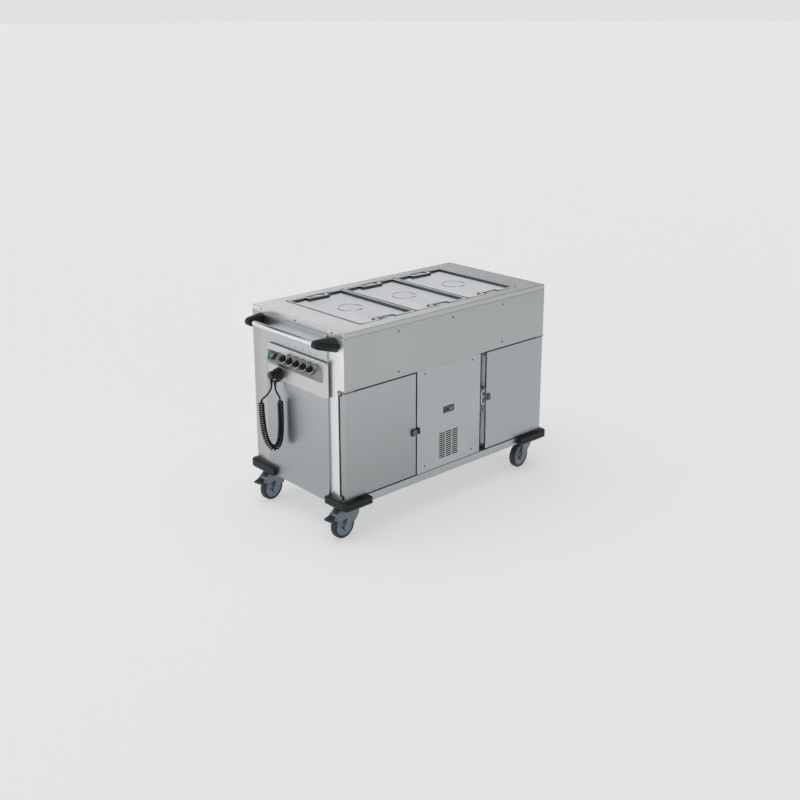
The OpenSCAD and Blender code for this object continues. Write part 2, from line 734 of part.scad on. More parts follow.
// Finned coil with straight tubes through its fins
module finned_coil(l, w, h, fins) {
    for (k = [0:fins - 1]) translate([k * (l - 1.5) / (fins - 1), 0, 0]) cube([1.5, w, h]);
    for (z = [0.15, 0.5, 0.85]) translate([-8, w / 2, z * h]) rotate([0, 90, 0])
        cylinder(r = 5, h = l + 16);
}

// Condenser with its fan ring and fan motor, and the evaporator in the cold cabinet
module cooling_coils() cart() color([0.6, 0.4, 0.3]) {
    translate([520, 50, 205]) finned_coil(200, 36, 180, 19);
    translate([930, 560, 570]) finned_coil(240, 50, 90, 16);
    translate([520, 100, 195]) difference() {
        cube([200, 3, 200]);
        translate([100, 10, 100]) rotate([90, 0, 0]) cylinder(r = 82, h = 20);
    }
    translate([520, 150, 288]) cube([200, 4, 14]);
    for (x = [520, 712]) translate([x, 102, 288]) cube([8, 50, 14]);
    translate([620, 190, 295]) rotate([90, 0, 0]) cylinder(r = 27, h = 38);
    translate([620, 153, 295]) rotate([90, 0, 0]) cylinder(r = pin_r, h = 36);
}

// Fan on the motor's shaft
module condenser_fan() cart() color("dimgray") translate([620, 130, 295]) rotate([90, 0, 0])
    difference() {
        union() {
            cylinder(r = 18, h = 16, center = true);
            for (a = [0:72:288]) rotate([0, 0, a]) translate([44, 0, 0]) rotate([28, 0, 0])
                cube([58, 34, 2], center = true);
        }
        cylinder(r = pin_r + run_fit, h = 30, center = true);
    }

// Plate heaters under the tanks and the rod heater at the back of the hot cabinet
module heating_elements() cart() color("peru") {
    for (k = [0:2]) at_pan(k) translate([-120, -210, tank_z - 3]) cube([240, 420, 3]);
    for (z = [230, 260, 290]) translate([90, 612, z]) rotate([0, 90, 0]) cylinder(r = 5, h = 250);
    translate([335, 602, 220]) cube([25, 20, 80]);
}

base_frame();
corner_posts();
left_end_panel();
right_end_panel();
back_panel();
upper_front_panel();
centre_front_panel();
deck_top();
wells();
hot_liner();
cold_liner();
hinge_brackets();
hinge_bushes();
panel_screws();
control_box();
console();
thermostat_display();
plug_holder();
cord_gland();
mains_plug();
mains_cord();
shelf_runners();
handle_brackets();
push_handle();
bumpers();
caster_plates();
compressor();
cooling_coils();
heating_elements();
condenser_fan();
left_door();
left_door_gasket();
right_door();
right_door_gasket();
left_latch_case();
left_latch_knob();
right_latch_case();
right_latch_knob();
pan_1();
pan_2();
pan_3();
lid_1();
lid_2();
lid_3();
knob_1();
knob_2();
knob_3();
knob_4();
knob_5();
main_switch();
caster_fork_1();
caster_fork_2();
caster_fork_3();
caster_fork_4();
wheel_1();
wheel_2();
wheel_3();
wheel_4();
brake_pedal_1();
brake_pedal_2();
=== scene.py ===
"""Looks of a three-well hot and cold food serving trolley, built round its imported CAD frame."""

import json
import math

import bmesh
import bpy
from mathutils import Matrix, Quaternion, Vector


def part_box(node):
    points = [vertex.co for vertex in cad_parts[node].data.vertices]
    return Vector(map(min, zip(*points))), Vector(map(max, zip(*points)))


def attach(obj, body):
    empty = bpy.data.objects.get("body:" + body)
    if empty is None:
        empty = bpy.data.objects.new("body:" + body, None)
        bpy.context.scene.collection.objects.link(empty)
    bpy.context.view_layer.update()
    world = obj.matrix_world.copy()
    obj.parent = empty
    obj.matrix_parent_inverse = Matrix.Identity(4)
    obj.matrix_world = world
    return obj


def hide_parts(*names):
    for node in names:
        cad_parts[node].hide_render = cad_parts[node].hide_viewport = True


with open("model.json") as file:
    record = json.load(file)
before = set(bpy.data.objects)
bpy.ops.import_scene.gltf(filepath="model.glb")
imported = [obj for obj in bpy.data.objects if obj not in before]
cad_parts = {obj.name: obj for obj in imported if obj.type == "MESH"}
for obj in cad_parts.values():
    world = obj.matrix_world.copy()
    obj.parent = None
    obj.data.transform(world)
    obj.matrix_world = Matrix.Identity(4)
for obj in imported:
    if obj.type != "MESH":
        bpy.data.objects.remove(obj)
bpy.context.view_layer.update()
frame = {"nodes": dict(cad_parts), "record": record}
RECORD = frame["record"]

# The lower front corner of the body at the handle end, from which places are measured
BODY_LOW, BODY_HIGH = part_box("base_frame")
BODY_L, BODY_W = BODY_HIGH.x - BODY_LOW.x, BODY_HIGH.y - BODY_LOW.y
DECK_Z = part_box("deck_top")[1].z


X, Y, Z = Vector((1, 0, 0)), Vector((0, 1, 0)), Vector((0, 0, 1))


def at(x, y, z):
    """A place in metres from the body's lower front corner on the floor."""
    return Vector((BODY_LOW.x + x, BODY_LOW.y + y, z))


# ---- camera

CAMERA_PLACE = (-2.6645, -3.2961, 2.2100)
CAMERA_TURN = 42.11
CAMERA_PITCH = 15.83
CAMERA_ROLL = 0.1
FOCAL_PX = 1068.3
SHIFT_PX = -80
FRAME_PX = 800
SENSOR_MM = 36.0


def make_camera():
    """The camera that stands left of the doors and looks along the body."""
    data = bpy.data.cameras.new("view")
    data.sensor_width = SENSOR_MM
    data.lens = FOCAL_PX * SENSOR_MM / FRAME_PX
    data.shift_y = SHIFT_PX / FRAME_PX
    cam = bpy.data.objects.new("view", data)
    turn, pitch = math.radians(CAMERA_TURN), math.radians(CAMERA_PITCH)
    ahead = Vector((
        math.sin(turn) * math.cos(pitch),
        math.cos(turn) * math.cos(pitch),
        -math.sin(pitch),
    ))
    cam.location = at(*CAMERA_PLACE)
    cam.rotation_mode = "QUATERNION"
    roll = Quaternion(ahead, math.radians(CAMERA_ROLL))
    cam.rotation_quaternion = roll @ ahead.to_track_quat("-Z", "Y")
    bpy.context.collection.objects.link(cam)
    bpy.context.scene.camera = cam


make_camera()

# ---- node materials


class Shader:
    """A Principled material and short ways to add nodes to it."""

    def __init__(self, color, rough, metal=0.0, **sockets):
        self.mat = bpy.data.materials.new("look")
        self.mat.use_nodes = True
        self.tree = self.mat.node_tree
        self.base = self.tree.nodes["Principled BSDF"]
        self.base.inputs["Base Color"].default_value = (*color, 1)
        self.base.inputs["Roughness"].default_value = rough
        self.base.inputs["Metallic"].default_value = metal
        for key, value in sockets.items():
            self.base.inputs[key.replace("_", " ")].default_value = value
        self.mat.diffuse_color = (*color, 1)
        self.color, self.rough = color, rough

    def add(self, kind, **values):
        node = self.tree.nodes.new(kind)
        for key, value in values.items():
            setattr(node, key, value)
        return node

    def link(self, a, b):
        self.tree.links.new(a, b)

    def coords(self, scale=(1, 1, 1)):
        """Object coordinates, which are the frame's metres, stretched by scale."""
        place = self.add("ShaderNodeTexCoord")
        mapping = self.add("ShaderNodeMapping")
        mapping.inputs["Scale"].default_value = scale
        self.link(place.outputs["Object"], mapping.inputs["Vector"])
        return mapping.outputs["Vector"]

    def noise(self, scale, detail=3.0, stretch=(1, 1, 1), rough=0.5):
        node = self.add("ShaderNodeTexNoise")
        node.inputs["Scale"].default_value = scale
        node.inputs["Detail"].default_value = detail
        node.inputs["Roughness"].default_value = rough
        self.link(self.coords(stretch), node.inputs["Vector"])
        return node.outputs["Fac"]

    def spread(self, value, low, high):
        """Maps a 0 to 1 value onto low to high."""
        node = self.add("ShaderNodeMapRange")
        node.inputs["From Min"].default_value = 0.25
        node.inputs["From Max"].default_value = 0.75
        node.inputs["To Min"].default_value = low
        node.inputs["To Max"].default_value = high
        self.link(value, node.inputs["Value"])
        return node.outputs["Result"]

    def shade(self, value, places, *parts):
        """Ramps the colour between two parts of itself as value goes between two places."""
        ramp = self.add("ShaderNodeValToRGB")
        for stop, place, part in zip(ramp.color_ramp.elements, places, parts):
            stop.position = place
            stop.color = (*[min(c * part, 1) for c in self.color], 1)
        self.link(value, ramp.inputs["Fac"])
        self.link(ramp.outputs["Color"], self.base.inputs["Base Color"])

    def tint(self, value, dark, light):
        """Colours the surface between two shades of its own colour."""
        self.shade(value, (0.3, 0.7), dark, light)

    def paint_light_falloff(self, clouds, axis, start, end, low, high):
        """Paints a fall-off of light: shades the surface from low to high of its own colour from
        start to end on an axis.
        """
        split = self.add("ShaderNodeSeparateXYZ")
        self.link(self.coords(), split.inputs[0])
        scale = self.add("ShaderNodeMapRange")
        scale.inputs["From Min"].default_value = start
        scale.inputs["From Max"].default_value = end
        self.link(split.outputs[axis], scale.inputs["Value"])
        stir = self.add("ShaderNodeMath", operation="MULTIPLY_ADD")
        stir.inputs[1].default_value = 0.12
        self.link(clouds, stir.inputs[0])
        self.link(scale.outputs["Result"], stir.inputs[2])
        self.shade(stir.outputs[0], (0.06, 1.0), low, high)

    def roughen(self, value, low, high):
        self.link(self.spread(value, low, high), self.base.inputs["Roughness"])

    def bump(self, value, depth, strength=1.0):
        """Raises the surface by up to depth metres."""
        node = self.add("ShaderNodeBump")
        node.inputs["Strength"].default_value = strength
        node.inputs["Distance"].default_value = depth
        self.link(value, node.inputs["Height"])
        self.link(node.outputs["Normal"], self.base.inputs["Normal"])


def brushed(color, rough, along, grain=0.00002, fade=None):
    """Stainless sheet with fine brush lines along one axis; a painted fall-off of light may shade
    it along one axis.
    """
    s = Shader(color, rough, 1.0)
    stretch = {"x": (1, 90, 90), "y": (90, 1, 90), "z": (90, 90, 1)}[along]
    lines = s.noise(9.0, 6.0, stretch, 0.7)
    clouds = s.noise(2.3, 4.0)
    # fade paints a slow fall-off of light across the sheet
    if fade:
        s.paint_light_falloff(clouds, *fade)
    else:
        s.tint(clouds, 0.97, 1.03)
    mix = s.add("ShaderNodeMath", operation="ADD")
    half = s.add("ShaderNodeMath", operation="MULTIPLY")
    half.inputs[1].default_value = 0.5
    s.link(lines, mix.inputs[0])
    s.link(clouds, mix.inputs[1])
    s.link(mix.outputs["Value"], half.inputs[0])
    s.roughen(half.outputs["Value"], rough - 0.05, rough + 0.06)
    s.bump(lines, grain, 0.35)
    return s.mat


def plastic(color, rough, grain=0.00012, scale=900.0, shade=(0.85, 1.15), **sockets):
    """Moulded plastic or rubber with a fine skin texture."""
    s = Shader(color, rough, 0.0, **sockets)
    skin = s.noise(scale, 2.0)
    s.tint(s.noise(14.0, 3.0), *shade)
    s.roughen(s.noise(60.0, 3.0), rough - 0.06, rough + 0.08)
    s.bump(skin, grain, 0.4)
    return s.mat


def metal(color, rough, scale=240.0, grain=0.00001):
    """Plain or plated metal with faint handling marks."""
    s = Shader(color, rough, 1.0)
    s.tint(s.noise(18.0, 4.0), 0.93, 1.05)
    s.roughen(s.noise(scale, 3.0), rough - 0.04, rough + 0.06)
    s.bump(s.noise(scale, 2.0), grain, 0.3)
    return s.mat


PALE = (0.755, 0.757, 0.760)
FAR_STEEL = (0.47, 0.49, 0.50)
# Painted light: most stainless steels below are lighter and darker copies of one metal, their base
# colours set for how each face is lit
MATS = {
    "front_steel": brushed((0.480, 0.500, 0.505), 0.34, "x"),
    # Painted light: the left door is a darker copy of the front steel, growing lighter up its
    # height as painted fall-off of light
    "door_left": brushed((0.42, 0.445, 0.452), 0.34, "x", fade=("Z", 0.2, 0.68, 0.88, 1.10)),
    "door_right": brushed((0.458, 0.480, 0.490), 0.34, "x"),
    "centre_steel": brushed((0.500, 0.520, 0.528), 0.34, "x"),
    "rail_steel": brushed(FAR_STEEL, 0.34, "x"),
    "back_steel": brushed((0.415, 0.442, 0.455), 0.36, "x"),
    # Painted light: the handle end's steel grows lighter up its height, a painted fall-off of light
    "end_steel": brushed((0.46, 0.485, 0.495), 0.32, "y", fade=("Z", 0.35, 0.95, 0.94, 1.22)),
    "far_end_steel": brushed(FAR_STEEL, 0.38, "y"),
    # Painted light: the corner posts are a much lighter copy of the steel, darkening across the
    # body's width as painted fall-off of light
    "post_steel": brushed((0.84, 0.84, 0.84), 0.34, "z", fade=("Y", -0.1, 0.32, 1.0, 0.62)),
    "box_steel": brushed((0.66, 0.66, 0.66), 0.34, "y"),
    # Painted light: the worktop is a much lighter copy of the steel, darkening along its length as
    # painted fall-off of light
    "deck_steel": brushed(
        (0.90, 0.91, 0.92), 0.24, "x", 0.000004, fade=("X", -0.55, 0.66, 1.0, 0.50)
    ),
    # Painted reflection: dark steel for the dark crescents at the ends of each lid's dish
    "dish_wall_painted_reflection": brushed((0.10, 0.12, 0.13), 0.22, "x"),
    # Painted light: the skirt's long faces and its end faces are darker and lighter copies of one
    # steel
    "skirt_steel": brushed((0.52, 0.535, 0.54), 0.34, "x"),
    "skirt_end_painted_light": brushed((0.78, 0.78, 0.78), 0.34, "y"),
    # Painted light: a near-white, rougher copy of the steel for the control box's near side
    "box_side_painted_light": brushed((0.96, 0.96, 0.96), 0.55, "z"),
    # Painted reflection and shade: near-black steel for the dark lines in the lid edges, the mouth
    # walls and the control box's top
    "painted_reflection_steel": brushed((0.085, 0.110, 0.115), 0.30, "x"),
    "lid_steel": brushed((0.68, 0.70, 0.72), 0.17, "y", 0.000006),
    "lid_bright": metal((0.70, 0.71, 0.73), 0.10, 90.0, 0.000004),
    "liner_steel": brushed((0.50, 0.52, 0.53), 0.36, "z"),
    "console_steel": brushed((0.33, 0.34, 0.35), 0.34, "y"),
    "pan_steel": brushed((0.62, 0.635, 0.645), 0.20, "y"),
    "hinge_steel": metal((0.25, 0.27, 0.28), 0.34),
    "screw_steel": metal((0.13, 0.14, 0.15), 0.35),
    "strike_metal": metal((0.30, 0.25, 0.24), 0.4),
    "chrome": metal((0.80, 0.81, 0.83), 0.07, 60.0, 0.000004),
    "zinc": metal((0.55, 0.57, 0.58), 0.35),
    "brass": metal((0.72, 0.45, 0.16), 0.3),
    "fins": metal((0.72, 0.73, 0.74), 0.4, 500.0),
    "heater": metal((0.36, 0.33, 0.30), 0.5),
    "black_plastic": plastic((0.006, 0.010, 0.011), 0.34, Specular_IOR_Level=0.32),
    "bracket_plastic": plastic((0.004, 0.008, 0.009), 0.36, Specular_IOR_Level=0.30),
    "knob_plastic": plastic((0.003, 0.004, 0.004), 0.24, 0.00004, Specular_IOR_Level=0.22),
    "latch_plastic": plastic((0.130, 0.155, 0.155), 0.36),
    "latch_dark": plastic((0.130, 0.150, 0.150), 0.34),
    "bumper_rubber": plastic((0.006, 0.012, 0.014), 0.36, 0.0001, 600.0, Specular_IOR_Level=0.36),
    "cord_rubber": plastic((0.004, 0.006, 0.007), 0.36, 0.00006, Specular_IOR_Level=0.25),
    "seal": plastic((0.62, 0.62, 0.70), 0.55, 0.0001, 500.0, (0.95, 1.03)),
    # Painted light: a paler copy of the seal for the gasket along the right door's edge
    "edge_seal_painted_light": plastic((0.88, 0.88, 0.97), 0.4, 0.0001, 500.0, (0.97, 1.03)),
    # Painted shade: near-black for the shade at the right door's edge and behind the grille
    "painted_shade_dark": plastic((0.008, 0.012, 0.012), 0.5, 0.0001, 500.0),
    "caster_plastic": plastic((0.185, 0.232, 0.262), 0.40, 0.00008),
    "disc_plastic": plastic((0.210, 0.258, 0.290), 0.38, 0.00008),
    "tyre": plastic((0.018, 0.034, 0.042), 0.42, 0.0001, Specular_IOR_Level=0.4),
    "grey_plastic": plastic((0.24, 0.27, 0.29), 0.42, 0.00008),
    "pedal_plastic": plastic((0.020, 0.034, 0.040), 0.40),
    "plug_grey": plastic((0.030, 0.038, 0.042), 0.34),
    "mark_ink": plastic((0.22, 0.23, 0.24), 0.6, 0.00001),
    "white_ink": plastic((0.75, 0.75, 0.75), 0.5, 0.00001),
    "enamel": plastic((0.010, 0.010, 0.011), 0.22, 0.00005, 120.0),
    "dark_window": plastic((0.16, 0.18, 0.22), 0.12, 0.00001),
    "green_lens": plastic((0.10, 0.42, 0.16), 0.20, 0.00002),
    "floor": plastic(
        (0.42, 0.42, 0.42), 0.9, 0.0004, 60.0, (0.995, 1.0),
        Emission_Color=(*PALE, 1.0), Emission_Strength=0.62,
    ),
}
for name, mat in MATS.items():
    mat.name = name

# ---- pieces

EDGE_TURN = 35

def link_piece(obj, body, mat=None):
    """Puts a piece in the scene on its body and its material."""
    if obj.name not in bpy.context.collection.objects:
        bpy.context.collection.objects.link(obj)
    if mat is not None:
        obj.data.materials.clear()
        obj.data.materials.append(MATS[mat])
    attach(obj, body)
    return obj


def node_body(node):
    return next(b for b, nodes in RECORD["behaviour"]["bodies"].items() if node in nodes)


def node_slot(node):
    return next(s["material_slot"] for s in RECORD["subparts"] if s["node"] == node)


def round_edges(piece, width, segments):
    """Rounds the edges that turn by more than EDGE_TURN degrees."""
    edge = piece.modifiers.new("edge", "BEVEL")
    edge.width, edge.segments = width, segments
    edge.limit_method, edge.angle_limit = "ANGLE", math.radians(EDGE_TURN)
    edge.harden_normals = True


def softened(node, mat, width=0.0012, segments=3):
    """A copy of a CAD node with its edges rounded, which stands for the node."""
    mesh = frame["nodes"][node].data.copy()
    bm = bmesh.new()
    bm.from_mesh(mesh)
    bmesh.ops.remove_doubles(bm, verts=bm.verts, dist=1e-6)
    bmesh.ops.dissolve_limit(bm, angle_limit=math.radians(1.5), verts=bm.verts, edges=bm.edges)
    bm.to_mesh(mesh)
    bm.free()
    mesh.materials.clear()
    for poly in mesh.polygons:
        poly.use_smooth = True
        poly.material_index = 0
    piece = bpy.data.objects.new(node + "_skin", mesh)
    link_piece(piece, node_body(node), mat)
    round_edges(piece, width, segments)
    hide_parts(node)
    return piece


def mesh_piece(name, body, slot, mat, build, bevel=0.0, segments=3, smooth=True):
    """A new piece whose mesh build(bm) draws."""
    bm = bmesh.new()
    build(bm)
    bmesh.ops.recalc_face_normals(bm, faces=bm.faces)
    mesh = bpy.data.meshes.new(name)
    bm.to_mesh(mesh)
    bm.free()
    for poly in mesh.polygons:
        poly.use_smooth = smooth
    piece = bpy.data.objects.new(name, mesh)
    link_piece(piece, body, mat)
    if bevel:
        round_edges(piece, bevel, segments)
    return piece


def face_material(piece, mat, chosen):
    """Gives the faces that chosen(face) picks a material of their own."""
    index = len(piece.data.materials)
    piece.data.materials.append(MATS[mat])
    for poly in piece.data.polygons:
        if chosen(poly):
            poly.material_index = index


def facing(*ways, spread=0.8):
    """Picks the faces that look more or less along one of some directions."""
    return lambda poly: any(poly.normal.dot(way) > spread for way in ways)


def skin_over(bm, rings, ends=True, loop=False):
    """Joins rings of vertices one to the next, and either closes the ends or joins them."""
    n = len(rings[0])
    for p, q in zip(rings, [*rings[1:], rings[0]] if loop else rings[1:]):
        for i in range(n):
            bm.faces.new((p[i], p[(i + 1) % n], q[(i + 1) % n], q[i]))
    if ends and not loop:
        bm.faces.new(rings[0][::-1])
        bm.faces.new(rings[-1])


def lathe(bm, profile, place, axis, steps=48):
    """Turns a profile of (radius, height) points round an axis through place."""
    spin = Z.rotation_difference(Vector(axis).normalized())
    rings = []
    for r, h in profile:
        ring = []
        for k in range(steps):
            a = 2 * math.pi * k / steps
            ring.append(bm.verts.new(place + spin @ Vector((r * math.cos(a), r * math.sin(a), h))))
        rings.append(ring)
    skin_over(bm, rings, ends=False)
    if profile[0][0] > 1e-9:
        bm.faces.new(rings[0][::-1])
    if profile[-1][0] > 1e-9:
        bm.faces.new(rings[-1])


def hoop(bm, profile, place, axis, steps):
    """Turns a closed profile round an axis."""
    lathe(bm, profile, place, axis, steps)
    caps = [f for f in bm.faces if len(f.verts) == steps]
    bmesh.ops.delete(bm, geom=caps, context="FACES_ONLY")
    bmesh.ops.bridge_loops(bm, edges=[e for e in bm.edges if e.is_boundary])


def slab(bm, low, high):
    """An upright block between two corners."""
    size = Vector(high) - Vector(low)
    middle = (Vector(high) + Vector(low)) / 2
    place = Matrix.Translation(middle) @ Matrix.Diagonal((*size, 1))
    bmesh.ops.create_cube(bm, size=1, matrix=place)


# ---- mains lead

LEAD_D = 0.008
CURL_R = 0.0106
CURL_PITCH = 0.0104
TURN_POINTS = 18
CORD_SIDE = Vector((0.68, 0.73, 0)).normalized()
PLUG_LEAD_ROUTE = [
    (-0.064, 0.438, 0.626), (-0.065, 0.440, 0.616), (-0.067, 0.445, 0.604),
    (-0.071, 0.451, 0.592), (-0.075, 0.459, 0.580), (-0.080, 0.468, 0.569),
    (-0.085, 0.477, 0.560), (-0.088, 0.483, 0.552), (-0.090, 0.486, 0.542),
]
BOX_LEAD_ROUTE = [
    (-0.034, 0.452, 0.612), (-0.034, 0.452, 0.605), (-0.034, 0.450, 0.597),
    (-0.034, 0.445, 0.589), (-0.034, 0.437, 0.581), (-0.034, 0.428, 0.574),
    (-0.034, 0.421, 0.567), (-0.035, 0.418, 0.556),
]
COIL_ROUTE = [
    (-0.090, 0.486, 0.546), (-0.091, 0.484, 0.520), (-0.092, 0.481, 0.491),
    (-0.092, 0.478, 0.463), (-0.092, 0.474, 0.435), (-0.091, 0.470, 0.407),
    (-0.088, 0.465, 0.381), (-0.084, 0.459, 0.359), (-0.077, 0.452, 0.341),
    (-0.069, 0.445, 0.330), (-0.060, 0.438, 0.327), (-0.051, 0.431, 0.332),
    (-0.044, 0.426, 0.346), (-0.039, 0.422, 0.366), (-0.036, 0.420, 0.391),
    (-0.035, 0.418, 0.420), (-0.034, 0.417, 0.452), (-0.034, 0.417, 0.486),
    (-0.034, 0.417, 0.520), (-0.035, 0.418, 0.558),
]


def smooth_line(points, parts):
    """A Catmull-Rom line through the points, each span cut into parts."""
    p = [2 * points[0] - points[1], *points, 2 * points[-1] - points[-2]]
    line = []
    for a, b, c, d in zip(p, p[1:], p[2:], p[3:]):
        for k in range(parts):
            t = k / parts
            line.append(0.5 * (
                2 * b + (c - a) * t + (2 * a - 5 * b + 4 * c - d) * t * t
                + (3 * b - a - 3 * c + d) * t ** 3
            ))
    return [*line, points[-1]]


def walk(line, step):
    """Places a step apart along a line, with the heading at each."""
    out, left = [], 0.0
    for a, b in zip(line, line[1:]):
        span = (b - a).length
        while left < span:
            out.append((a.lerp(b, left / span), (b - a).normalized()))
            left += step
        left -= span
    return out


def make_cord():
    """The whole lead as one spline: straight end, curly stretch, straight end."""
    coil = walk(smooth_line([at(*p) for p in COIL_ROUTE], 12), CURL_PITCH / TURN_POINTS)
    ramp = TURN_POINTS * 1.2
    curl = []
    for i, (place, ahead) in enumerate(coil):
        across = CORD_SIDE.cross(ahead).normalized()
        up = ahead.cross(across)
        ease = min(1.0, i / ramp, (len(coil) - 1 - i) / ramp)
        r = CURL_R * (ease * ease * (3 - 2 * ease))
        a = 2 * math.pi * i / TURN_POINTS
        curl.append(place + r * (math.cos(a) * across + math.sin(a) * up))
    first = smooth_line([at(*p) for p in PLUG_LEAD_ROUTE], 3)[:-1]
    last = smooth_line([at(*p) for p in BOX_LEAD_ROUTE], 3)[::-1][1:]
    line = [*first, *curl[2:-2], *last]
    data = bpy.data.curves.new("mains_lead", "CURVE")
    data.dimensions = "3D"
    data.bevel_depth = LEAD_D / 2
    data.bevel_resolution = 3
    data.use_fill_caps = True
    spline = data.splines.new("POLY")
    spline.points.add(len(line) - 1)
    for point, place in zip(spline.points, line):
        point.co = (*place, 1)
    spline.use_smooth = True
    cord = bpy.data.objects.new("mains_lead", data)
    link_piece(cord, "trolley", "cord_rubber")
    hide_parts("mains_cord")
    length = sum((b - a).length for a, b in zip(line, line[1:]))
    return cord, length


cord, cord_length = make_cord()

# ---- sheet metal


def blocks(bm, fill, cut=()):
    """The outer faces of upright boxes (x0, y0, z0, x1, y1, z1) with others cut away."""
    both = (*fill, *cut)
    axes = [sorted({b[i] for b in both} | {b[i + 3] for b in both}) for i in range(3)]

    def inside(p, boxes):
        return any(all(b[i] < p[i] < b[i + 3] for i in range(3)) for b in boxes)

    counts = [len(a) - 1 for a in axes]
    solid = set()
    for i in range(counts[0]):
        for j in range(counts[1]):
            for k in range(counts[2]):
                p = [(axes[d][n] + axes[d][n + 1]) / 2 for d, n in enumerate((i, j, k))]
                if inside(p, fill) and not inside(p, cut):
                    solid.add((i, j, k))
    corners = {}

    def corner(key):
        if key not in corners:
            corners[key] = bm.verts.new(at(*(axes[d][key[d]] for d in range(3))))
        return corners[key]

    for cell in solid:
        for d in range(3):
            for side in (0, 1):
                beside = list(cell)
                beside[d] += 1 if side else -1
                if tuple(beside) in solid:
                    continue
                u, v = [e for e in range(3) if e != d]
                ring = []
                for a, b in ((0, 0), (1, 0), (1, 1), (0, 1)):
                    key = list(cell)
                    key[d] += side
                    key[u] += a
                    key[v] += b
                    ring.append(corner(tuple(key)))
                bm.faces.new(ring)
    bmesh.ops.recalc_face_normals(bm, faces=bm.faces)
    bmesh.ops.dissolve_limit(bm, angle_limit=0.01, verts=bm.verts, edges=bm.edges)


def rounded_outline(l, w, r, steps=8):
    """Points round a flat rectangle with round corners, centred on the origin."""
    points = []
    for k, (sx, sy) in enumerate(((1, 1), (-1, 1), (-1, -1), (1, -1))):
        for i in range(steps + 1):
            a = math.radians(90 * (k + i / steps))
            points.append((sx * (l / 2 - r) + r * math.cos(a), sy * (w / 2 - r) + r * math.sin(a)))
    return points


def prism(bm, points, place, u, v, depth):
    """Extrudes a flat outline, drawn along u and v from place, by the vector depth."""
    u, v, depth = Vector(u), Vector(v), Vector(depth)
    low = [bm.verts.new(place + a * u + b * v) for a, b in points]
    skin_over(bm, [low, [bm.verts.new(p.co + depth) for p in low]])


DOOR_LOW, DOOR_HIGH, DOOR_T = 0.1955, 0.6845, 0.035
DOOR_NOTCH = (0.0125, 0.019, 0.0148)
PIN_Y = 0.034
LUG_R, LUG_H, LUG_REACH, LUG_GAP = 0.008, 0.005, 0.014, 0.0004
LUG_Z = (0.2023, 0.6724)


def door_skin(node, x0, x1, hinge_x, mat):
    """A door as one folded skin with a notch and a lug at each hinge."""
    z0, z1 = DOOR_LOW, DOOR_HIGH
    side = 1 if hinge_x < (x0 + x1) / 2 else -1
    notch = [hinge_x - 0.02, DOOR_NOTCH[1], 0, hinge_x + 0.02, DOOR_T + 0.01, 0]
    notch[3 if side > 0 else 0] = hinge_x + side * DOOR_NOTCH[0]

    def build(bm):
        cuts = []
        for a, b in ((z0 - 0.01, z0 + DOOR_NOTCH[2]), (z1 - DOOR_NOTCH[2], z1 + 0.01)):
            cuts.append((*notch[:2], a, *notch[3:5], b))
        blocks(bm, [(x0, 0, z0, x1, DOOR_T, z1)], cuts)

    skin = mesh_piece(node + "_skin", node_body(node), node_slot(node), mat, build, 0.002, 4)

    def lugs(bm):
        for z in LUG_Z:
            lathe(bm, [(LUG_R, 0), (LUG_R, LUG_H)], at(hinge_x, PIN_Y, z), Z, 24)
            x0, x1 = sorted((hinge_x, hinge_x + side * LUG_REACH))
            low, high = z + LUG_GAP, z + LUG_H - LUG_GAP
            slab(bm, at(x0, PIN_Y - 0.009, low), at(x1, PIN_Y + 0.001, high))

    mesh_piece(node + "_lugs", node_body(node), node_slot(node), "hinge_steel", lugs, 0.0006, 2)
    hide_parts(node)


door_skin("left_door", 0.0015, 0.411, 0.0, "door_left")
door_skin("right_door", 0.870, 1.2685, BODY_L, "door_right")

MOUTH = (0.142, 0.062, 1.133, 0.598)
SKIRT_H = 0.025


def make_deck():
    """The worktop with its folded skirt and the mouth over the wells; its faces get lighter and
    darker copies of one steel by the way they face, as painted light.
    """
    x0, y0, x1, y1 = MOUTH

    def build(bm):
        blocks(bm, [(0, 0, DECK_Z - SKIRT_H, BODY_L, BODY_W, DECK_Z)], [(x0, y0, 0.9, x1, y1, 1.0)])

    def in_mouth(poly):
        c = poly.center
        return abs(poly.normal.z) < 0.5 and low.x < c.x < high.x and low.y < c.y < high.y

    deck = mesh_piece("deck_skin", "trolley", "brushed_stainless", "deck_steel", build, 0.0022, 4)
    # Painted light: the skirt's faces are shaded by which way they face
    face_material(deck, "skirt_steel", facing(Y, -Y))
    face_material(deck, "skirt_end_painted_light", facing(X, -X))
    low, high = at(x0 - 0.001, y0 - 0.001, 0), at(x1 + 0.001, y1 + 0.001, 0)
    # Painted shade and reflection: the walls of the mouth over the wells get near-black steel
    face_material(deck, "painted_reflection_steel", in_mouth)
    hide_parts("deck_top")


make_deck()

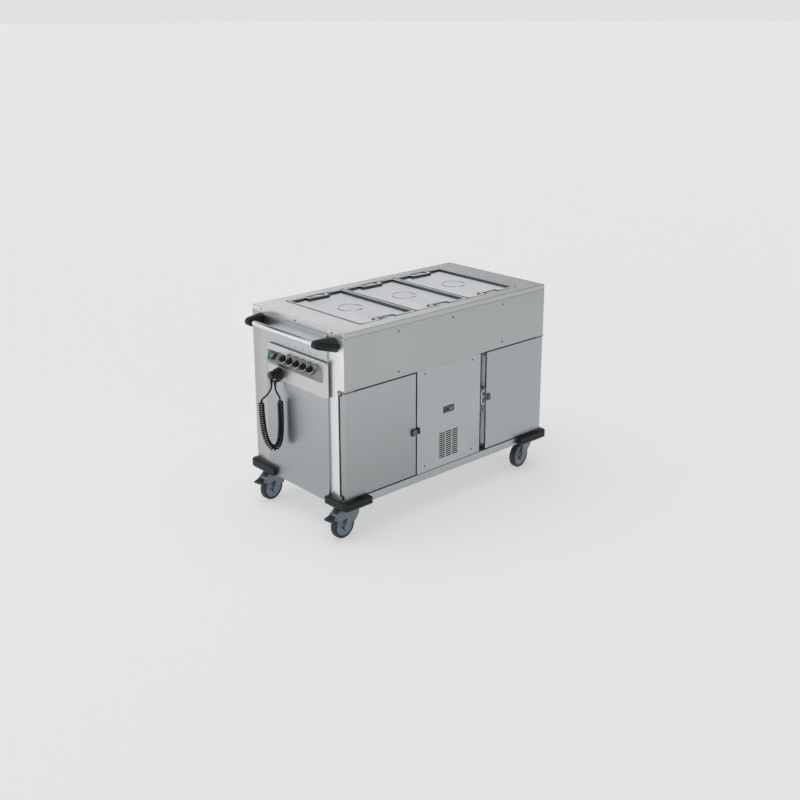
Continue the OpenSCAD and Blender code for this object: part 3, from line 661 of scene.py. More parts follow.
PLAIN = {
    "base_frame": ("rail_steel", 0.0006), "corner_posts": ("post_steel", 0.0006),
    "left_end_panel": ("end_steel", 0.0006), "right_end_panel": ("far_end_steel", 0.0006),
    "back_panel": ("back_steel", 0.0006), "upper_front_panel": ("front_steel", 0.0006),
    "centre_front_panel": ("centre_steel", 0.0006), "wells": ("liner_steel", 0.0005),
    "hot_liner": ("liner_steel", 0.0005), "cold_liner": ("liner_steel", 0.0005),
    "shelf_runners": ("pan_steel", 0.0010), "hinge_brackets": ("hinge_steel", 0.0010),
    "hinge_bushes": ("brass", 0.0008), "push_handle": ("chrome", 0.0004),
    "caster_plates": ("zinc", 0.0008), "pan_1": ("pan_steel", 0.0005),
    "pan_2": ("pan_steel", 0.0005), "pan_3": ("pan_steel", 0.0005),
    "left_door_gasket": ("seal", 0.0005), "right_door_gasket": ("seal", 0.0005),
    "compressor": ("enamel", 0.0015), "cooling_coils": ("fins", 0.0002),
    "heating_elements": ("heater", 0.0010), "condenser_fan": ("grey_plastic", 0.0006),
    "handle_brackets": ("bracket_plastic", 0.0025),
    "left_latch_case": ("black_plastic", 0.0012), "right_latch_case": ("latch_dark", 0.0012),
}
for node, (mat, width) in PLAIN.items():
    softened(node, mat, width)

# ---- lids

LID_N = 3
PAN_PITCH = 0.330
FIRST_PAN = 0.145 + 0.325 / 2
DISH_R = 0.052
DISH_RIM = 0.0022
PANEL_TOP = 0.942
BAR_W, BAR_T = 0.0075, 0.0014


def make_lid(k):
    """A lid: the pressed plate, the round dish and the bar across it."""
    node = "lid_%d" % (k + 1)
    middle = at(FIRST_PAN + PAN_PITCH * k, BODY_W / 2, 0)
    plate = softened(node, "lid_steel", 0.0006)
    bm = bmesh.new()
    bm.from_mesh(plate.data)
    gone = [v for v in bm.verts if (v.co - middle).xy.length < DISH_R + DISH_RIM]
    bmesh.ops.delete(bm, geom=gone, context="VERTS")
    bmesh.ops.holes_fill(bm, edges=bm.edges, sides=0)
    bm.to_mesh(plate.data)
    bm.free()
    for poly in plate.data.polygons:
        poly.material_index = 0
    # Painted reflection: the lid plate's sloping walls get near-black steel for the dark lines seen
    # in them
    face_material(plate, "painted_reflection_steel", facing(X, -X, Y, -Y, spread=0.5))

    def dish(bm):
        top = PANEL_TOP
        outer = [
            (0.060, top - 0.0001), (0.0595, top + 0.0008), (0.0555, top + 0.0009),
            (0.0535, top + 0.0004), (0.0523, top - 0.0012), (0.0516, top - 0.006),
            (0.0508, top - 0.016), (0.0485, top - 0.0205), (0.0440, top - 0.0228),
            (0.020, top - 0.0235), (0.0001, top - 0.0236),
        ]
        under = [
            (0.0001, top - 0.0248), (0.0445, top - 0.0242), (0.0500, top - 0.0215),
            (0.0525, top - 0.016), (0.0532, top - 0.0015), (0.0545, top - 0.0008),
            (0.060, top - 0.0009), (0.060, top - 0.0001),
        ]
        lathe(bm, [*outer, *under], middle, Z, 72)
        bmesh.ops.remove_doubles(bm, verts=bm.verts, dist=2e-5)

    bowl = mesh_piece(node + "_dish", node, "bright_stainless", "lid_bright", dish)
    # Painted reflection: the dish walls that face along the body are near-black
    face_material(bowl, "dish_wall_painted_reflection", facing(X, -X, spread=0.5))

    def bar(bm):
        half = DISH_R + 0.001
        steps, sides = 16, 12
        rows = []
        for i in range(steps + 1):
            t = -1 + 2 * i / steps
            lift = PANEL_TOP - 0.0031 - 0.0016 * t * t
            w = BAR_W + 0.0006 * t * t
            row = []
            for k in range(sides):
                a = 2 * math.pi * k / sides
                place = Vector((w * math.cos(a), half * t, lift + BAR_T * math.sin(a)))
                row.append(bm.verts.new(middle + place))
            rows.append(row)
        skin_over(bm, rows)

    mesh_piece(node + "_bar", node, "bright_stainless", "lid_bright", bar)


for k in range(LID_N):
    make_lid(k)

# ---- control end

BOX_FACE = -0.020
END_FACE = -0.008
BOX_Y, BOX_L, BOX_Z, BOX_H, BOX_R = 0.096, 0.424, 0.641, 0.163, 0.012
CONSOLE_Y, CONSOLE_L, CONSOLE_OUT, END_TAPER = 0.123, 0.392, 0.033, 0.034
CONSOLE_TOP, CONSOLE_LIP, CONSOLE_FOOT = 0.773, 0.739, 0.707
FACE_DOWN = Vector((-CONSOLE_OUT, 0, CONSOLE_LIP - CONSOLE_TOP)).normalized()
FACE_OUT = Vector((FACE_DOWN.z, 0, -FACE_DOWN.x))
FIRST_KNOB, KNOB_PITCH, KNOB_N, KNOB_R = 0.377, 0.049, 5, 0.019
SWITCH_Y, SWITCH_L, SWITCH_W, SWITCH_TILT = 0.460, 0.042, 0.030, 7


def face_place(y):
    """The middle of the console's sloping face at one y."""
    return at(BOX_FACE - CONSOLE_OUT / 2, y, (CONSOLE_TOP + CONSOLE_LIP) / 2)


def make_box():
    """The flat control box on the end panel, with a painted dark top and a painted light near side.
    """
    def build(bm):
        middle = at(END_FACE, BOX_Y + BOX_L / 2, BOX_Z + BOX_H / 2)
        outline = rounded_outline(BOX_L, BOX_H, BOX_R)
        prism(bm, outline, middle, Y, Z, X * (BOX_FACE - END_FACE))

    box = mesh_piece(
        "control_box_skin", "trolley", "brushed_stainless", "box_steel", build, 0.0022, 4
    )
    # Painted reflection on the box's top face, painted light on its near side
    face_material(box, "painted_reflection_steel", facing(Z, spread=0.9))
    face_material(box, "box_side_painted_light", facing(-Y))
    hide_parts("control_box")


def make_console():
    """The sloping console with its tapered ends, and the frame round the switch."""
    def build(bm):
        near, far = CONSOLE_Y, CONSOLE_Y + CONSOLE_L
        lip = BOX_FACE - CONSOLE_OUT
        p = [bm.verts.new(at(*c)) for c in (
            (BOX_FACE, near, CONSOLE_TOP), (BOX_FACE, near, CONSOLE_FOOT),
            (lip, near + END_TAPER, CONSOLE_LIP),
            (BOX_FACE, far, CONSOLE_TOP), (BOX_FACE, far, CONSOLE_FOOT),
            (lip, far - END_TAPER, CONSOLE_LIP),
        )]
        for ring in ((0, 1, 2), (5, 4, 3), (0, 3, 4, 1), (1, 4, 5, 2), (2, 5, 3, 0)):
            bm.faces.new([p[i] for i in ring])

    slot = "console_steel"
    wedge = mesh_piece("console_skin", "trolley", slot, "console_steel", build, 0.0012, 3)

    def frame_ring(bm):
        place = face_place(SWITCH_Y)
        outer = rounded_outline(SWITCH_W + 0.004, SWITCH_L + 0.004, 0.002, 4)
        inner = rounded_outline(SWITCH_W + 0.001, SWITCH_L + 0.001, 0.001, 4)
        rings = []
        for points, h in ((outer, -0.0008), (outer, 0.0014), (inner, 0.0014), (inner, -0.0008)):
            level = place + h * FACE_OUT
            rings.append([bm.verts.new(level + a * FACE_DOWN + b * Y) for a, b in points])
        skin_over(bm, rings, loop=True)

    mesh_piece("switch_frame", "trolley", slot, "black_plastic", frame_ring, 0.0004, 2)
    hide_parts("console")


def make_switch():
    """Rocker with a lit green lens on its raised half."""
    tilt = Matrix.Rotation(math.radians(SWITCH_TILT), 3, FACE_DOWN)
    place = face_place(SWITCH_Y)
    u, v, out = tilt @ FACE_DOWN, tilt @ Y, tilt @ FACE_OUT

    def rocker(bm):
        half = SWITCH_L / 2 - 0.0006
        side = [
            (-half, -0.0010), (-0.012, -0.0030), (0.012, -0.0030), (half, -0.0010),
            (half, 0.0036), (0.002, 0.0016), (-half, 0.0036),
        ]
        w = SWITCH_W - 0.0012
        prism(bm, side, place - u * w / 2, v, out, u * w)

    body = mesh_piece("rocker", "main_switch", "black_plastic", "black_plastic", rocker, 0.0007, 3)

    def lens(bm):
        end = SWITCH_L / 2 - 0.0022
        side = [(-0.004, 0.0012), (end, 0.0018), (end, 0.00395), (-0.003, 0.0023)]
        w = SWITCH_W - 0.006
        prism(bm, side, place - u * w / 2, v, out, u * w)

    mesh_piece("rocker_lens", "main_switch", "switch_green", "green_lens", lens, 0.0004, 2)
    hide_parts("main_switch")


def make_knob(k):
    """Fluted knob on a chrome ring, with a pointer line on its grip bar."""
    node = "knob_%d" % (k + 1)
    place = face_place(FIRST_KNOB - KNOB_PITCH * k)
    spin = Z.rotation_difference(FACE_OUT)

    def ring(bm):
        lathe(bm, [
            (0.0001, 0.0007), (KNOB_R - 0.0004, 0.0007), (KNOB_R, 0.0012),
            (KNOB_R - 0.0002, 0.0030), (KNOB_R - 0.0008, 0.0042), (KNOB_R - 0.0016, 0.0044),
            (KNOB_R - 0.003, 0.0040), (0.0001, 0.0040),
        ], place, FACE_OUT, 64)

    skirt = mesh_piece(node + "_ring", node, "chrome_tube", "chrome", ring)

    def body(bm):
        steps, flutes = 72, 18
        levels = [
            (0.0040, 0.0168, 0.0), (0.0050, 0.0171, 0.0004), (0.0120, 0.0165, 0.0006),
            (0.0150, 0.0160, 0.0004), (0.0163, 0.0150, 0.0001), (0.0168, 0.0136, 0.0),
        ]
        rings = []
        for h, r, flute in levels:
            row = []
            for i in range(steps):
                a = 2 * math.pi * i / steps
                out = r + flute * math.cos(flutes * a)
                point = Vector((out * math.cos(a), out * math.sin(a), h))
                row.append(bm.verts.new(place + spin @ point))
            rings.append(row)
        skin_over(bm, rings)

    mesh_piece(node + "_body", node, "knob_plastic", "knob_plastic", body)

    def grip(bm):
        outline = rounded_outline(0.0052, 2 * KNOB_R - 0.0105, 0.0024, 5)
        prism(bm, outline, place + 0.0160 * FACE_OUT, Y, FACE_DOWN, FACE_OUT * 0.0038)

    mesh_piece(node + "_grip", node, "knob_plastic", "knob_plastic", grip, 0.0010, 3)

    def pointer(bm):
        start = place + 0.01972 * FACE_OUT - 0.006 * FACE_DOWN
        outline = rounded_outline(0.0012, 0.012, 0.0005, 3)
        prism(bm, outline, start, Y, FACE_DOWN, FACE_OUT * 0.00025)

    mesh_piece(node + "_pointer", node, "knob_plastic", "white_ink", pointer)
    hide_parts(node)


def ink(name, text, place, right, up, size):
    """A printed figure as a thin mesh."""
    data = bpy.data.curves.new(name, "FONT")
    data.body, data.size, data.extrude = text, size, 0.00008
    data.align_x, data.align_y = "CENTER", "CENTER"
    data.resolution_u = 4
    held = bpy.data.objects.new(name + "_text", data)
    bpy.context.collection.objects.link(held)
    bpy.context.view_layer.update()
    graph = bpy.context.evaluated_depsgraph_get()
    mesh = bpy.data.meshes.new_from_object(held.evaluated_get(graph))
    bpy.data.objects.remove(held)
    out = right.cross(up)
    turn = Matrix((right, up, out)).transposed().to_4x4()
    mesh.transform(Matrix.Translation(place + out * 0.0001) @ turn)
    mesh.name = name
    piece = bpy.data.objects.new(name, mesh)
    return link_piece(piece, "trolley", "mark_ink")


FIGURE_Y = (0.376, 0.326, 0.276, 0.229, 0.179)
FIGURE_Z = 0.820
TICK = ((-0.0004, 0), (0.0004, 0), (0.0004, 0.0016), (-0.0004, 0.0016))
TICK_GAP = 0.0022


def make_prints():
    """Plain figures over the knobs, and the ticks round each."""
    for k, y in enumerate(FIGURE_Y):
        ink("figure_%d" % (k + 1), str(k + 1), at(END_FACE, y, FIGURE_Z), -Y, Z, 0.019)

    def ticks(bm):
        for k in range(KNOB_N):
            place = face_place(FIRST_KNOB - KNOB_PITCH * k)
            for i in range(10):
                a = math.radians(225 - 30 * i)
                along = math.cos(a) * -Y - math.sin(a) * FACE_DOWN
                across = along.cross(FACE_OUT)
                start = place + along * (KNOB_R + TICK_GAP)
                prism(bm, TICK, start, across, along, FACE_OUT * 0.0001)

    mesh_piece("dial_ticks", "trolley", "console_steel", "mark_ink", ticks, smooth=False)


make_box()
make_console()
make_switch()
for k in range(KNOB_N):
    make_knob(k)
make_prints()

# ---- plug, its holder, the gland

HOLDER_Y, HOLDER_Z = 0.436, 0.675
PLUG_DROP = (-0.064, 0.438)
GLAND = (-0.034, 0.452)


def relief(bm, x, y, low, high, tip, root, rings):
    """Tapered strain relief with ring grooves, from its thin lower end up."""
    profile = [(0.0001, low), (tip - 0.0003, low)]
    span = high - low
    step = span / rings
    for i in range(rings):
        t = i / rings
        r, h = tip + (root - tip) * t, low + span * t
        profile += [
            (r, h + 0.0003), (r + 0.0002, h + step * 0.6),
            (r - 0.0007, h + step * 0.68), (r - 0.0007, h + step * 0.92),
        ]
    profile += [(root, high - 0.0002), (root, high), (0.0001, high)]
    lathe(bm, profile, at(x, y, 0), Z, 32)


def make_plug():
    """The dummy socket and the plug that is parked in it."""
    centre = at(BOX_FACE, HOLDER_Y, HOLDER_Z)

    def holder(bm):
        profile = [
            (0.0001, 0.0), (0.0290, 0.0), (0.0290, 0.0036), (0.0280, 0.0052), (0.0262, 0.0060),
            (0.0250, 0.0062),
        ]
        for i in range(5):
            h = 0.0068 + 0.003 * i
            profile += [(0.0250, h), (0.0250, h + 0.0016)]
            profile += [(0.0238, h + 0.0019), (0.0238, h + 0.0027)]
        profile += [
            (0.0244, 0.0215), (0.0236, 0.0220), (0.0200, 0.0220), (0.0194, 0.0212),
            (0.0194, 0.0102), (0.0001, 0.0102),
        ]
        lathe(bm, profile, centre, -X, 72)

    cup = mesh_piece("plug_holder_skin", "trolley", "black_plastic", "black_plastic", holder)
    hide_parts("plug_holder")

    def body(bm):
        lathe(bm, [
            (0.0001, 0.0105), (0.0182, 0.0105), (0.0190, 0.0113), (0.0190, 0.0270),
            (0.0180, 0.0276), (0.0180, 0.0290), (0.0190, 0.0296), (0.0190, 0.0370),
            (0.0180, 0.0376), (0.0180, 0.0390), (0.0190, 0.0396), (0.0188, 0.0470),
            (0.0176, 0.0500), (0.0160, 0.0510), (0.0001, 0.0512),
        ], centre, -X, 64)
        lathe(bm, [
            (0.0001, 0.650), (0.0074, 0.650), (0.0080, 0.652), (0.0084, 0.660), (0.0090, 0.666),
            (0.0001, 0.669),
        ], at(*PLUG_DROP, 0), Z, 40)
        relief(bm, *PLUG_DROP, 0.626, 0.6505, 0.0046, 0.0070, 6)

    plug = mesh_piece("plug_body", "trolley", "black_plastic", "black_plastic", body)

    def cap(bm):
        lathe(bm, [
            (0.0001, 0.0505), (0.0163, 0.0505), (0.0160, 0.0535), (0.0150, 0.0552),
            (0.0130, 0.0560), (0.0001, 0.0560),
        ], centre, -X, 56)

    back = mesh_piece("plug_cap", "trolley", "black_plastic", "plug_grey", cap)

    def pins(bm):
        for s in (-1, 1):
            lathe(bm, [
                (0.0001, 0.0032), (0.0018, 0.0032), (0.0024, 0.0042), (0.0024, 0.0108),
                (0.0001, 0.0108),
            ], centre + Z * 0.0095 * s, -X, 24)

    metal_pins = mesh_piece("plug_pins", "trolley", "brass", "zinc", pins)
    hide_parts("mains_plug")
    return plug, back, metal_pins


def make_gland():
    """The gland under the control box, from which the lead hangs."""
    def build(bm):
        blocks(bm, [(-0.043, 0.443, 0.632, END_FACE, 0.461, 0.6405)])

    block = mesh_piece("gland_block", "trolley", "black_plastic", "black_plastic", build, 0.0015, 3)

    def cone(bm):
        relief(bm, *GLAND, 0.612, 0.6325, 0.0046, 0.0070, 5)

    nose = mesh_piece("gland_relief", "trolley", "black_plastic", "black_plastic", cone)
    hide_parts("cord_gland")
    return nose


plug_pieces = make_plug()
gland_nose = make_gland()

# ---- latches, display, screws


LATCH_H = 0.032


def make_latch_knob(node, x, z, l):
    """Flat turn knob with round ends and a raised rib."""
    role = (node_body(node), node_slot(node), "latch_plastic")

    def plate(bm):
        outline = rounded_outline(l - 0.0004, LATCH_H - 0.0004, l * 0.42, 8)
        prism(bm, outline, at(x, -0.0055, z), X, Z, -Y * 0.0052)

    knob = mesh_piece(node + "_plate", *role, plate, 0.0012, 3)

    def rib(bm):
        outline = rounded_outline(l * 0.36, LATCH_H - 0.006, l * 0.17, 6)
        prism(bm, outline, at(x, -0.0104, z), X, Z, -Y * 0.0025)

    mesh_piece(node + "_rib", *role, rib, 0.0009, 3)
    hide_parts(node)


make_latch_knob("left_latch_knob", 0.397, 0.407, 0.025)
make_latch_knob("right_latch_knob", 0.882, 0.461, 0.018)
EDGE_X = 0.870
EDGE_SPANS = ((0.2165, 0.3915), (0.5095, 0.6635))


def make_latch_trim():
    """The left latch's strike strip, and the right door's pale plates and sealed edge; the seal is
    drawn paler than the other gaskets as painted light, and a dark band of painted shade runs in
    front of it.
    """
    def strip(bm):
        blocks(bm, [(0.4120, 0.010, 0.428, 0.4180, 0.013, 0.490)])

    mesh_piece("left_strike", "trolley", "hinge_steel", "strike_metal", strip, 0.0006, 2)

    def tabs(bm):
        for z0, z1 in ((0.494, 0.500), (0.464, 0.470), (0.428, 0.434)):
            blocks(bm, [(0.836, 0.0005, z0, 0.858, 0.0030, z1)])
        blocks(bm, [(0.836, 0.0005, 0.428, 0.841, 0.0029, 0.4999)])

    mesh_piece("right_latch_tabs", "right_door", "hinge_steel", "lid_bright", tabs, 0.0006, 2)

    def band(name, mat, y0, y1):
        def build(bm):
            for z0, z1 in EDGE_SPANS:
                blocks(bm, [(EDGE_X - 0.0012, y0, z0, EDGE_X + 0.0004, y1, z1)])

        mesh_piece(name, "right_door", "hinge_steel", mat, build, 0.0004, 2)

    # The gasket band is a real seal drawn paler as painted light; the band in front of it is
    # painted shade
    band("right_edge_seal", "edge_seal_painted_light", 0.0120, 0.0335)
    band("right_edge_painted_shade", "painted_shade_dark", 0.0022, 0.0060)


make_latch_trim()

GRILLE = (0.554, 0.226, 0.686, 0.363)
FILTER_FRONT, FILTER_BACK, PLEATS = (0.0046, 0.0062), 0.0085, 22


def make_grille_shade_filter():
    """The pleated black sheet that shows through the slots of the grille: a guessed filter, and
    painted shade for the dark inside of the cabinet.
    """
    x0, z0, x1, z1 = GRILLE

    def build(bm):
        rows = []
        for i in range(2 * PLEATS + 1):
            x = x0 + (x1 - x0) * i / (2 * PLEATS)
            depth = FILTER_FRONT[(i + 1) % 2]
            corners = ((depth, z0), (depth, z1), (FILTER_BACK, z1), (FILTER_BACK, z0))
            rows.append([bm.verts.new(at(x, y, z)) for y, z in corners])
        skin_over(bm, rows)

    # Painted shade: the dark sheet behind the slots
    mesh_piece("grille_shade_filter", "trolley", "black_plastic", "painted_shade_dark", build, smooth=False)


make_grille_shade_filter()

DISPLAY = (0.5855, 0.4525, 0.065, 0.027)


def make_display():
    """The thermostat display, with its window, figures and keys."""
    x, z, l, h = DISPLAY

    def bezel(bm):
        blocks(bm, [(x - 0.002, 0.0, z - 0.002, x + l + 0.002, 0.0012, z + h + 0.002)],
               [(x + 0.0035, -0.001, z + 0.0035, x + l - 0.0035, 0.0009, z + h - 0.0035)])

    ring = mesh_piece("display_bezel", "trolley", "display_dark", "black_plastic", bezel, 0.0005, 3)

    def pane(bm):
        blocks(bm, [(x + 0.003, 0.0004, z + 0.003, x + l - 0.003, 0.00095, z + h - 0.003)])

    mesh_piece("display_pane", "trolley", "display_dark", "dark_window", pane, 0.0002, 2)

    def figures(bm):
        blocks(bm, [(x + 0.006, 0.00015, z + 0.0085, x + 0.036, 0.0004, z + 0.0185)])

    mesh_piece("display_figures", "trolley", "display_dark", "black_plastic", figures, 0.0001, 2)

    def keys(bm):
        for i in range(3):
            key = x + 0.041 + 0.007 * i
            blocks(bm, [(key, 0.0001, z + 0.007, key + 0.0045, 0.0004, z + 0.0105)])

    mesh_piece("display_keys", "trolley", "display_dark", "grey_plastic", keys, 0.0001, 2)
    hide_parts("thermostat_display")


make_display()

FRONT_SCREWS = [
    (0.307, 0.902), (0.639, 0.902), (0.971, 0.902), (0.309, 0.717), (0.974, 0.717),
    (0.467, 0.670), (0.772, 0.670), (0.467, 0.221), (0.772, 0.221),
]
SKIRT_SCREWS = [0.079, 0.335, 0.591]
SKIRT_SCREW_Z = DECK_Z - 0.012
SCREW_R = 0.0045


def make_screws():
    """Domed screw heads with a round recess."""
    r = SCREW_R

    def head(bm, place, out):
        lathe(bm, [
            (0.0001, 0.0), (r, 0.0), (r, 0.0004), (r * 0.9, 0.0011), (r * 0.6, 0.0016),
            (r * 0.28, 0.0018), (r * 0.22, 0.0008), (0.0001, 0.0007),
        ], place, out, 28)

    def build(bm):
        for x, z in FRONT_SCREWS:
            head(bm, at(x, 0.001 if z < 0.69 else 0.0, z), -Y)
        for y in SKIRT_SCREWS:
            head(bm, at(0, y, SKIRT_SCREW_Z), -X)
            head(bm, at(BODY_L, y, SKIRT_SCREW_Z), X)

    screws = mesh_piece("screw_heads", "trolley", "screw_steel", "screw_steel", build)
    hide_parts("panel_screws")


make_screws()

# ---- bumpers

RAIL_LOW, BUMP_OUT = 0.154, 0.028
BUMP_ARMS = ((0.127, 0.117), (0.127, 0.160), (0.169, 0.117), (0.169, 0.160))
BUMP_PROFILE = (
    (0.0, 0.0035), (0.0012, 0.0014), (0.0035, 0.0), (0.0135, 0.0), (0.0150, 0.0016),
    (0.0168, 0.0016), (0.0183, 0.0), (0.0325, 0.0), (0.0348, 0.0014), (0.0360, 0.0035),
)


def make_bumpers():
    """Corner bumpers with rounded edges and a groove along their middle."""
    def build(bm):
        for k, (front, end) in enumerate(BUMP_ARMS):
            sx, sy = (1, -1)[k // 2], (1, -1)[k % 2]
            corner = at(0 if sx > 0 else BODY_L, 0 if sy > 0 else BODY_W, RAIL_LOW)
            rings = []
            for h, inset in BUMP_PROFILE:
                r = BUMP_OUT - inset
                points = [(front - inset, 0), (front - inset, -r)]
                for i in range(13):
                    a = math.radians(-90 - 90 * i / 12)
                    points.append((r * math.cos(a), r * math.sin(a)))
                points += [(-r, end - inset), (0, end - inset), (0, 0)]
                places = [corner + Vector((sx * a, sy * b, h)) for a, b in points]
                rings.append([bm.verts.new(place) for place in places])
            skin_over(bm, rings)

    slot = "bumper_rubber"
    rubber = mesh_piece("bumper_skin", "trolley", slot, "bumper_rubber", build, 0.0010, 2)
    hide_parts("bumpers")


make_bumpers()

# ---- casters

BRAKE_N = 2
CASTERS = (((0.058, 0.056), 6), ((0.058, 0.594), 10), ((1.212, 0.056), 7), ((1.212, 0.594), 16))
TRAIL, WHEEL_R, WHEEL_W, TREAD_R = 0.039, 0.0625, 0.032, 0.008


def caster_axes(k):
    """The king pin's place, and the ways ahead and to the side of a caster."""
    (x, y), yaw = CASTERS[k]
    a = math.radians(yaw)
    ahead = Vector((math.cos(a), math.sin(a), 0))
    return at(x, y, 0), ahead, Vector((-ahead.y, ahead.x, 0))


def make_wheel(k):
    """Tyre with a rounded tread and a dished disc with a hub."""
    node = "wheel_%d" % (k + 1)
    pin, ahead, side = caster_axes(k)
    axle = pin - ahead * TRAIL + Z * WHEEL_R
    half = WHEEL_W / 2

    def tyre(bm):
        profile = [(0.0500, -half + 0.0010)]
        for i in range(-4, 5):
            a = math.radians(22.5 * i)
            flat = (half - TREAD_R) * ((i > 0) - (i < 0))
            profile.append((WHEEL_R - TREAD_R * (1 - math.cos(a)), flat + TREAD_R * math.sin(a)))
        profile.append((0.0500, half - 0.0010))
        hoop(bm, profile, axle, side, 80)

    rubber = mesh_piece(node + "_tyre", node, "tyre", "tyre", tyre)

    def disc(bm):
        profile = [
            (0.0083, -half - 0.0003), (0.0160, -half - 0.0003), (0.0180, -half + 0.0010),
            (0.0190, -half + 0.0045), (0.0300, -half + 0.0052), (0.0430, -half + 0.0045),
            (0.0470, -half + 0.0022), (0.0502, -half + 0.0022),
        ]
        hoop(bm, [*profile, *[(r, -h) for r, h in profile[::-1]]], axle, side, 80)

    mesh_piece(node + "_disc", node, "tyre", "disc_plastic", disc)
    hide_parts(node)


HOOK = (
    (-0.0325, 0.0900), (-0.0375, 0.0845), (-0.0440, 0.0765), (-0.0510, 0.0680),
    (-0.0550, 0.0595), (-0.0540, 0.0505), (-0.0490, 0.0435), (-0.0420, 0.0385),
)
HOOK_W, HOOK_IN, HOOK_EDGE, HOOK_OUT = 0.0036, 0.0166, 0.0243, 0.0248


def make_fork(k):
    """Moulded fork; the dark hook on each side is a painted shadow line along the arm's edge, and
    the hood's window is its trim.
    """
    node = "caster_fork_%d" % (k + 1)
    body = "caster_%d" % (k + 1)
    softened(node, "caster_plastic", 0.0016, 4)
    pin, ahead, side = caster_axes(k)

    # Painted shadow: a thin dark hook laid on each side of the fork for the shadow line along the
    # arm's edge
    def hooks(bm):
        line = smooth_line([Vector((x, 0, z)) for x, z in HOOK], 4)
        for s in (-1, 1):
            rows = []
            for i, p in enumerate(line):
                a = line[max(i - 1, 0)]
                b = line[min(i + 1, len(line) - 1)]
                t = (b - a).normalized()
                n = Vector((-t.z, 0, t.x))
                w = HOOK_W * (0.30 + 0.70 * math.sin(math.pi * i / (len(line) - 1)))
                row = []
                for u, h in (
                    (-w, HOOK_IN), (w, HOOK_IN), (w, HOOK_EDGE), (w * 0.5, HOOK_OUT),
                    (-w * 0.5, HOOK_OUT), (-w, HOOK_EDGE),
                ):
                    q = p + n * u
                    row.append(bm.verts.new(pin + ahead * q.x + Z * q.z + side * s * h))
                rows.append(row)
            skin_over(bm, rows)

    mesh_piece(node + "_painted_shadow_hooks", body, "caster_plastic", "tyre", hooks)

    def caps(bm):
        for s in (-1, 1):
            lathe(bm, [
                (0.0001, 0.0238), (0.0085, 0.0238), (0.0082, 0.0254), (0.0070, 0.0262),
                (0.0001, 0.0264),
            ], pin - ahead * TRAIL + Z * WHEEL_R, side * s, 32)

    mesh_piece(node + "_axle_caps", body, "caster_steel", "caster_plastic", caps)
    if k < BRAKE_N:
        def window(bm):
            top = pin - ahead * 0.0645 + Z * 0.1448
            foot = pin - ahead * 0.0850 + Z * 0.1260
            down = (foot - top).normalized()
            out = down.cross(side).normalized()
            if out.z < 0:
                out = -out
            outline = rounded_outline((foot - top).length, 0.026, 0.002, 4)
            prism(bm, outline, (top + foot) / 2 - out * 0.0012, down, side, out * 0.0019)

        mesh_piece(node + "_window", body, "caster_plastic", "tyre", window, 0.0005, 2)


def make_pedal(k):
    """Foot pedal with a ribbed tread."""
    node = "brake_pedal_%d" % (k + 1)
    softened(node, "pedal_plastic", 0.0012, 3)
    pin, ahead, side = caster_axes(k)

    def ribs(bm):
        for i in range(5):
            x = -0.1105 - 0.0036 * i
            z = 0.119 + (x + 0.1064) * (0.003 / 0.0216)
            place = pin + ahead * x + Z * (z - 0.0006)
            prism(bm, rounded_outline(0.0014, 0.034, 0.0006, 2), place, ahead, side, Z * 0.0013)

    mesh_piece(node + "_ribs", node, "black_plastic", "pedal_plastic", ribs, 0.0003, 2)


for k in range(len(CASTERS)):
    make_wheel(k)
    make_fork(k)
for k in range(BRAKE_N):
    make_pedal(k)

# ---- floor and light

FLOOR_HALF = 400.0


def make_stage():
    """A wide pale floor and a studio of the same shade, so that the two meet unseen."""
    data = bpy.data.meshes.new("floor")
    bm = bmesh.new()
    bmesh.ops.create_grid(bm, x_segments=1, y_segments=1, size=FLOOR_HALF)
    bm.to_mesh(data)
    bm.free()
    floor = bpy.data.objects.new("floor", data)
    bpy.context.collection.objects.link(floor)
    data.materials.append(MATS["floor"])
    bpy.context.scene.view_settings.view_transform = "Standard"


STUDIO_HEIGHTS = (
    (0.0, 0.84), (0.30, 0.84), (0.42, 0.16), (0.72, 0.12), (0.84, 0.80), (0.92, 1.10)
)
STUDIO_SIDE = (-0.22, 0.10)


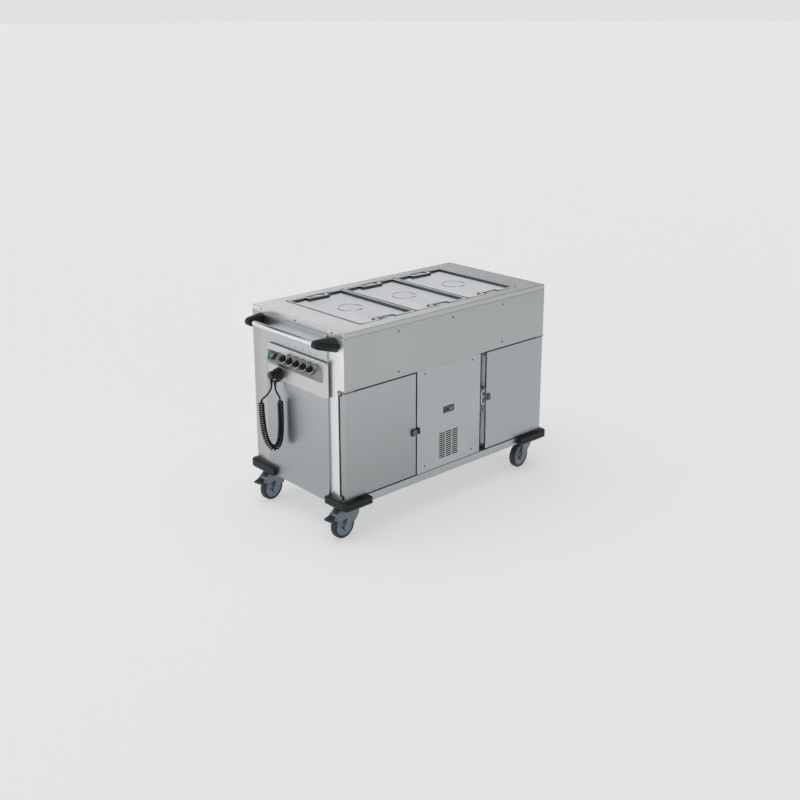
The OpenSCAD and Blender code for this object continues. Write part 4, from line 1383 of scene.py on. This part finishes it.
def make_studio():
    """A soft studio: bright panels overhead, dim upper walls, and pale walls low down."""
    world = bpy.data.worlds.new("studio")
    world.use_nodes = True
    tree = world.node_tree
    back = tree.nodes["Background"]
    back.inputs["Color"].default_value = (*PALE, 1)

    def node(kind, *inputs, **values):
        made = tree.nodes.new(kind)
        for key, value in values.items():
            setattr(made, key, value)
        for socket, value in zip(made.inputs, inputs):
            if isinstance(value, bpy.types.NodeSocket):
                tree.links.new(value, socket)
            elif value is not None:
                socket.default_value = value
        return made

    ahead = node("ShaderNodeSeparateXYZ", node("ShaderNodeTexCoord").outputs["Generated"])
    ramp = node("ShaderNodeValToRGB", ahead.outputs["Z"])
    stops = ramp.color_ramp.elements
    for k, (height, light) in enumerate(STUDIO_HEIGHTS):
        stop = stops[k] if k < 2 else stops.new(height)
        stop.position = height
        stop.color = (light, light, light * 1.01, 1)
    across = node("ShaderNodeMath", ahead.outputs["X"], STUDIO_SIDE[0], operation="MULTIPLY")
    along = node("ShaderNodeMath", ahead.outputs["Y"], STUDIO_SIDE[1], operation="MULTIPLY")
    side = node("ShaderNodeMath", across.outputs[0], along.outputs[0], operation="ADD")
    fade = node("ShaderNodeMath", side.outputs[0], 1.0, operation="ADD")
    studio = tree.nodes.new("ShaderNodeBackground")
    tree.links.new(ramp.outputs["Color"], studio.inputs["Color"])
    tree.links.new(fade.outputs[0], studio.inputs["Strength"])
    seen = node("ShaderNodeLightPath")
    camera_ray = seen.outputs["Is Camera Ray"]
    mix = node("ShaderNodeMixShader", camera_ray, studio.outputs[0], back.outputs[0])
    tree.links.new(mix.outputs[0], tree.nodes["World Output"].inputs["Surface"])
    bpy.context.scene.world = world


SUN_AHEAD, SUN_STRENGTH, SUN_SPREAD = (0.45, -0.30, -1.0), 0.55, 70
WALL_PLACE, WALL_TARGET = Vector((-3.4, 1.6, 1.1)), Vector((-0.6, 0, 0.6))
WALL_SIZE, WALL_POWER = (3.0, 2.4), 5


def hang_lamp(data, place, ahead):
    """Puts a lamp at a place, shining ahead."""
    lamp = bpy.data.objects.new(data.name, data)
    lamp.location = place
    lamp.rotation_mode = "QUATERNION"
    lamp.rotation_quaternion = ahead.to_track_quat("-Z", "Y")
    bpy.context.collection.objects.link(lamp)


def make_lamps():
    """A wide soft sun, which lights the whole floor alike, and a faint wall at the left."""
    sun = bpy.data.lights.new("soft_sky", "SUN")
    sun.energy, sun.angle = SUN_STRENGTH, math.radians(SUN_SPREAD)
    hang_lamp(sun, (0, 0, 0), Vector(SUN_AHEAD))
    wall = bpy.data.lights.new("left_wall", "AREA")
    wall.shape, wall.size, wall.size_y = "RECTANGLE", *WALL_SIZE
    wall.energy = WALL_POWER
    hang_lamp(wall, WALL_PLACE, WALL_TARGET - WALL_PLACE)


make_stage()
make_studio()
make_lamps()
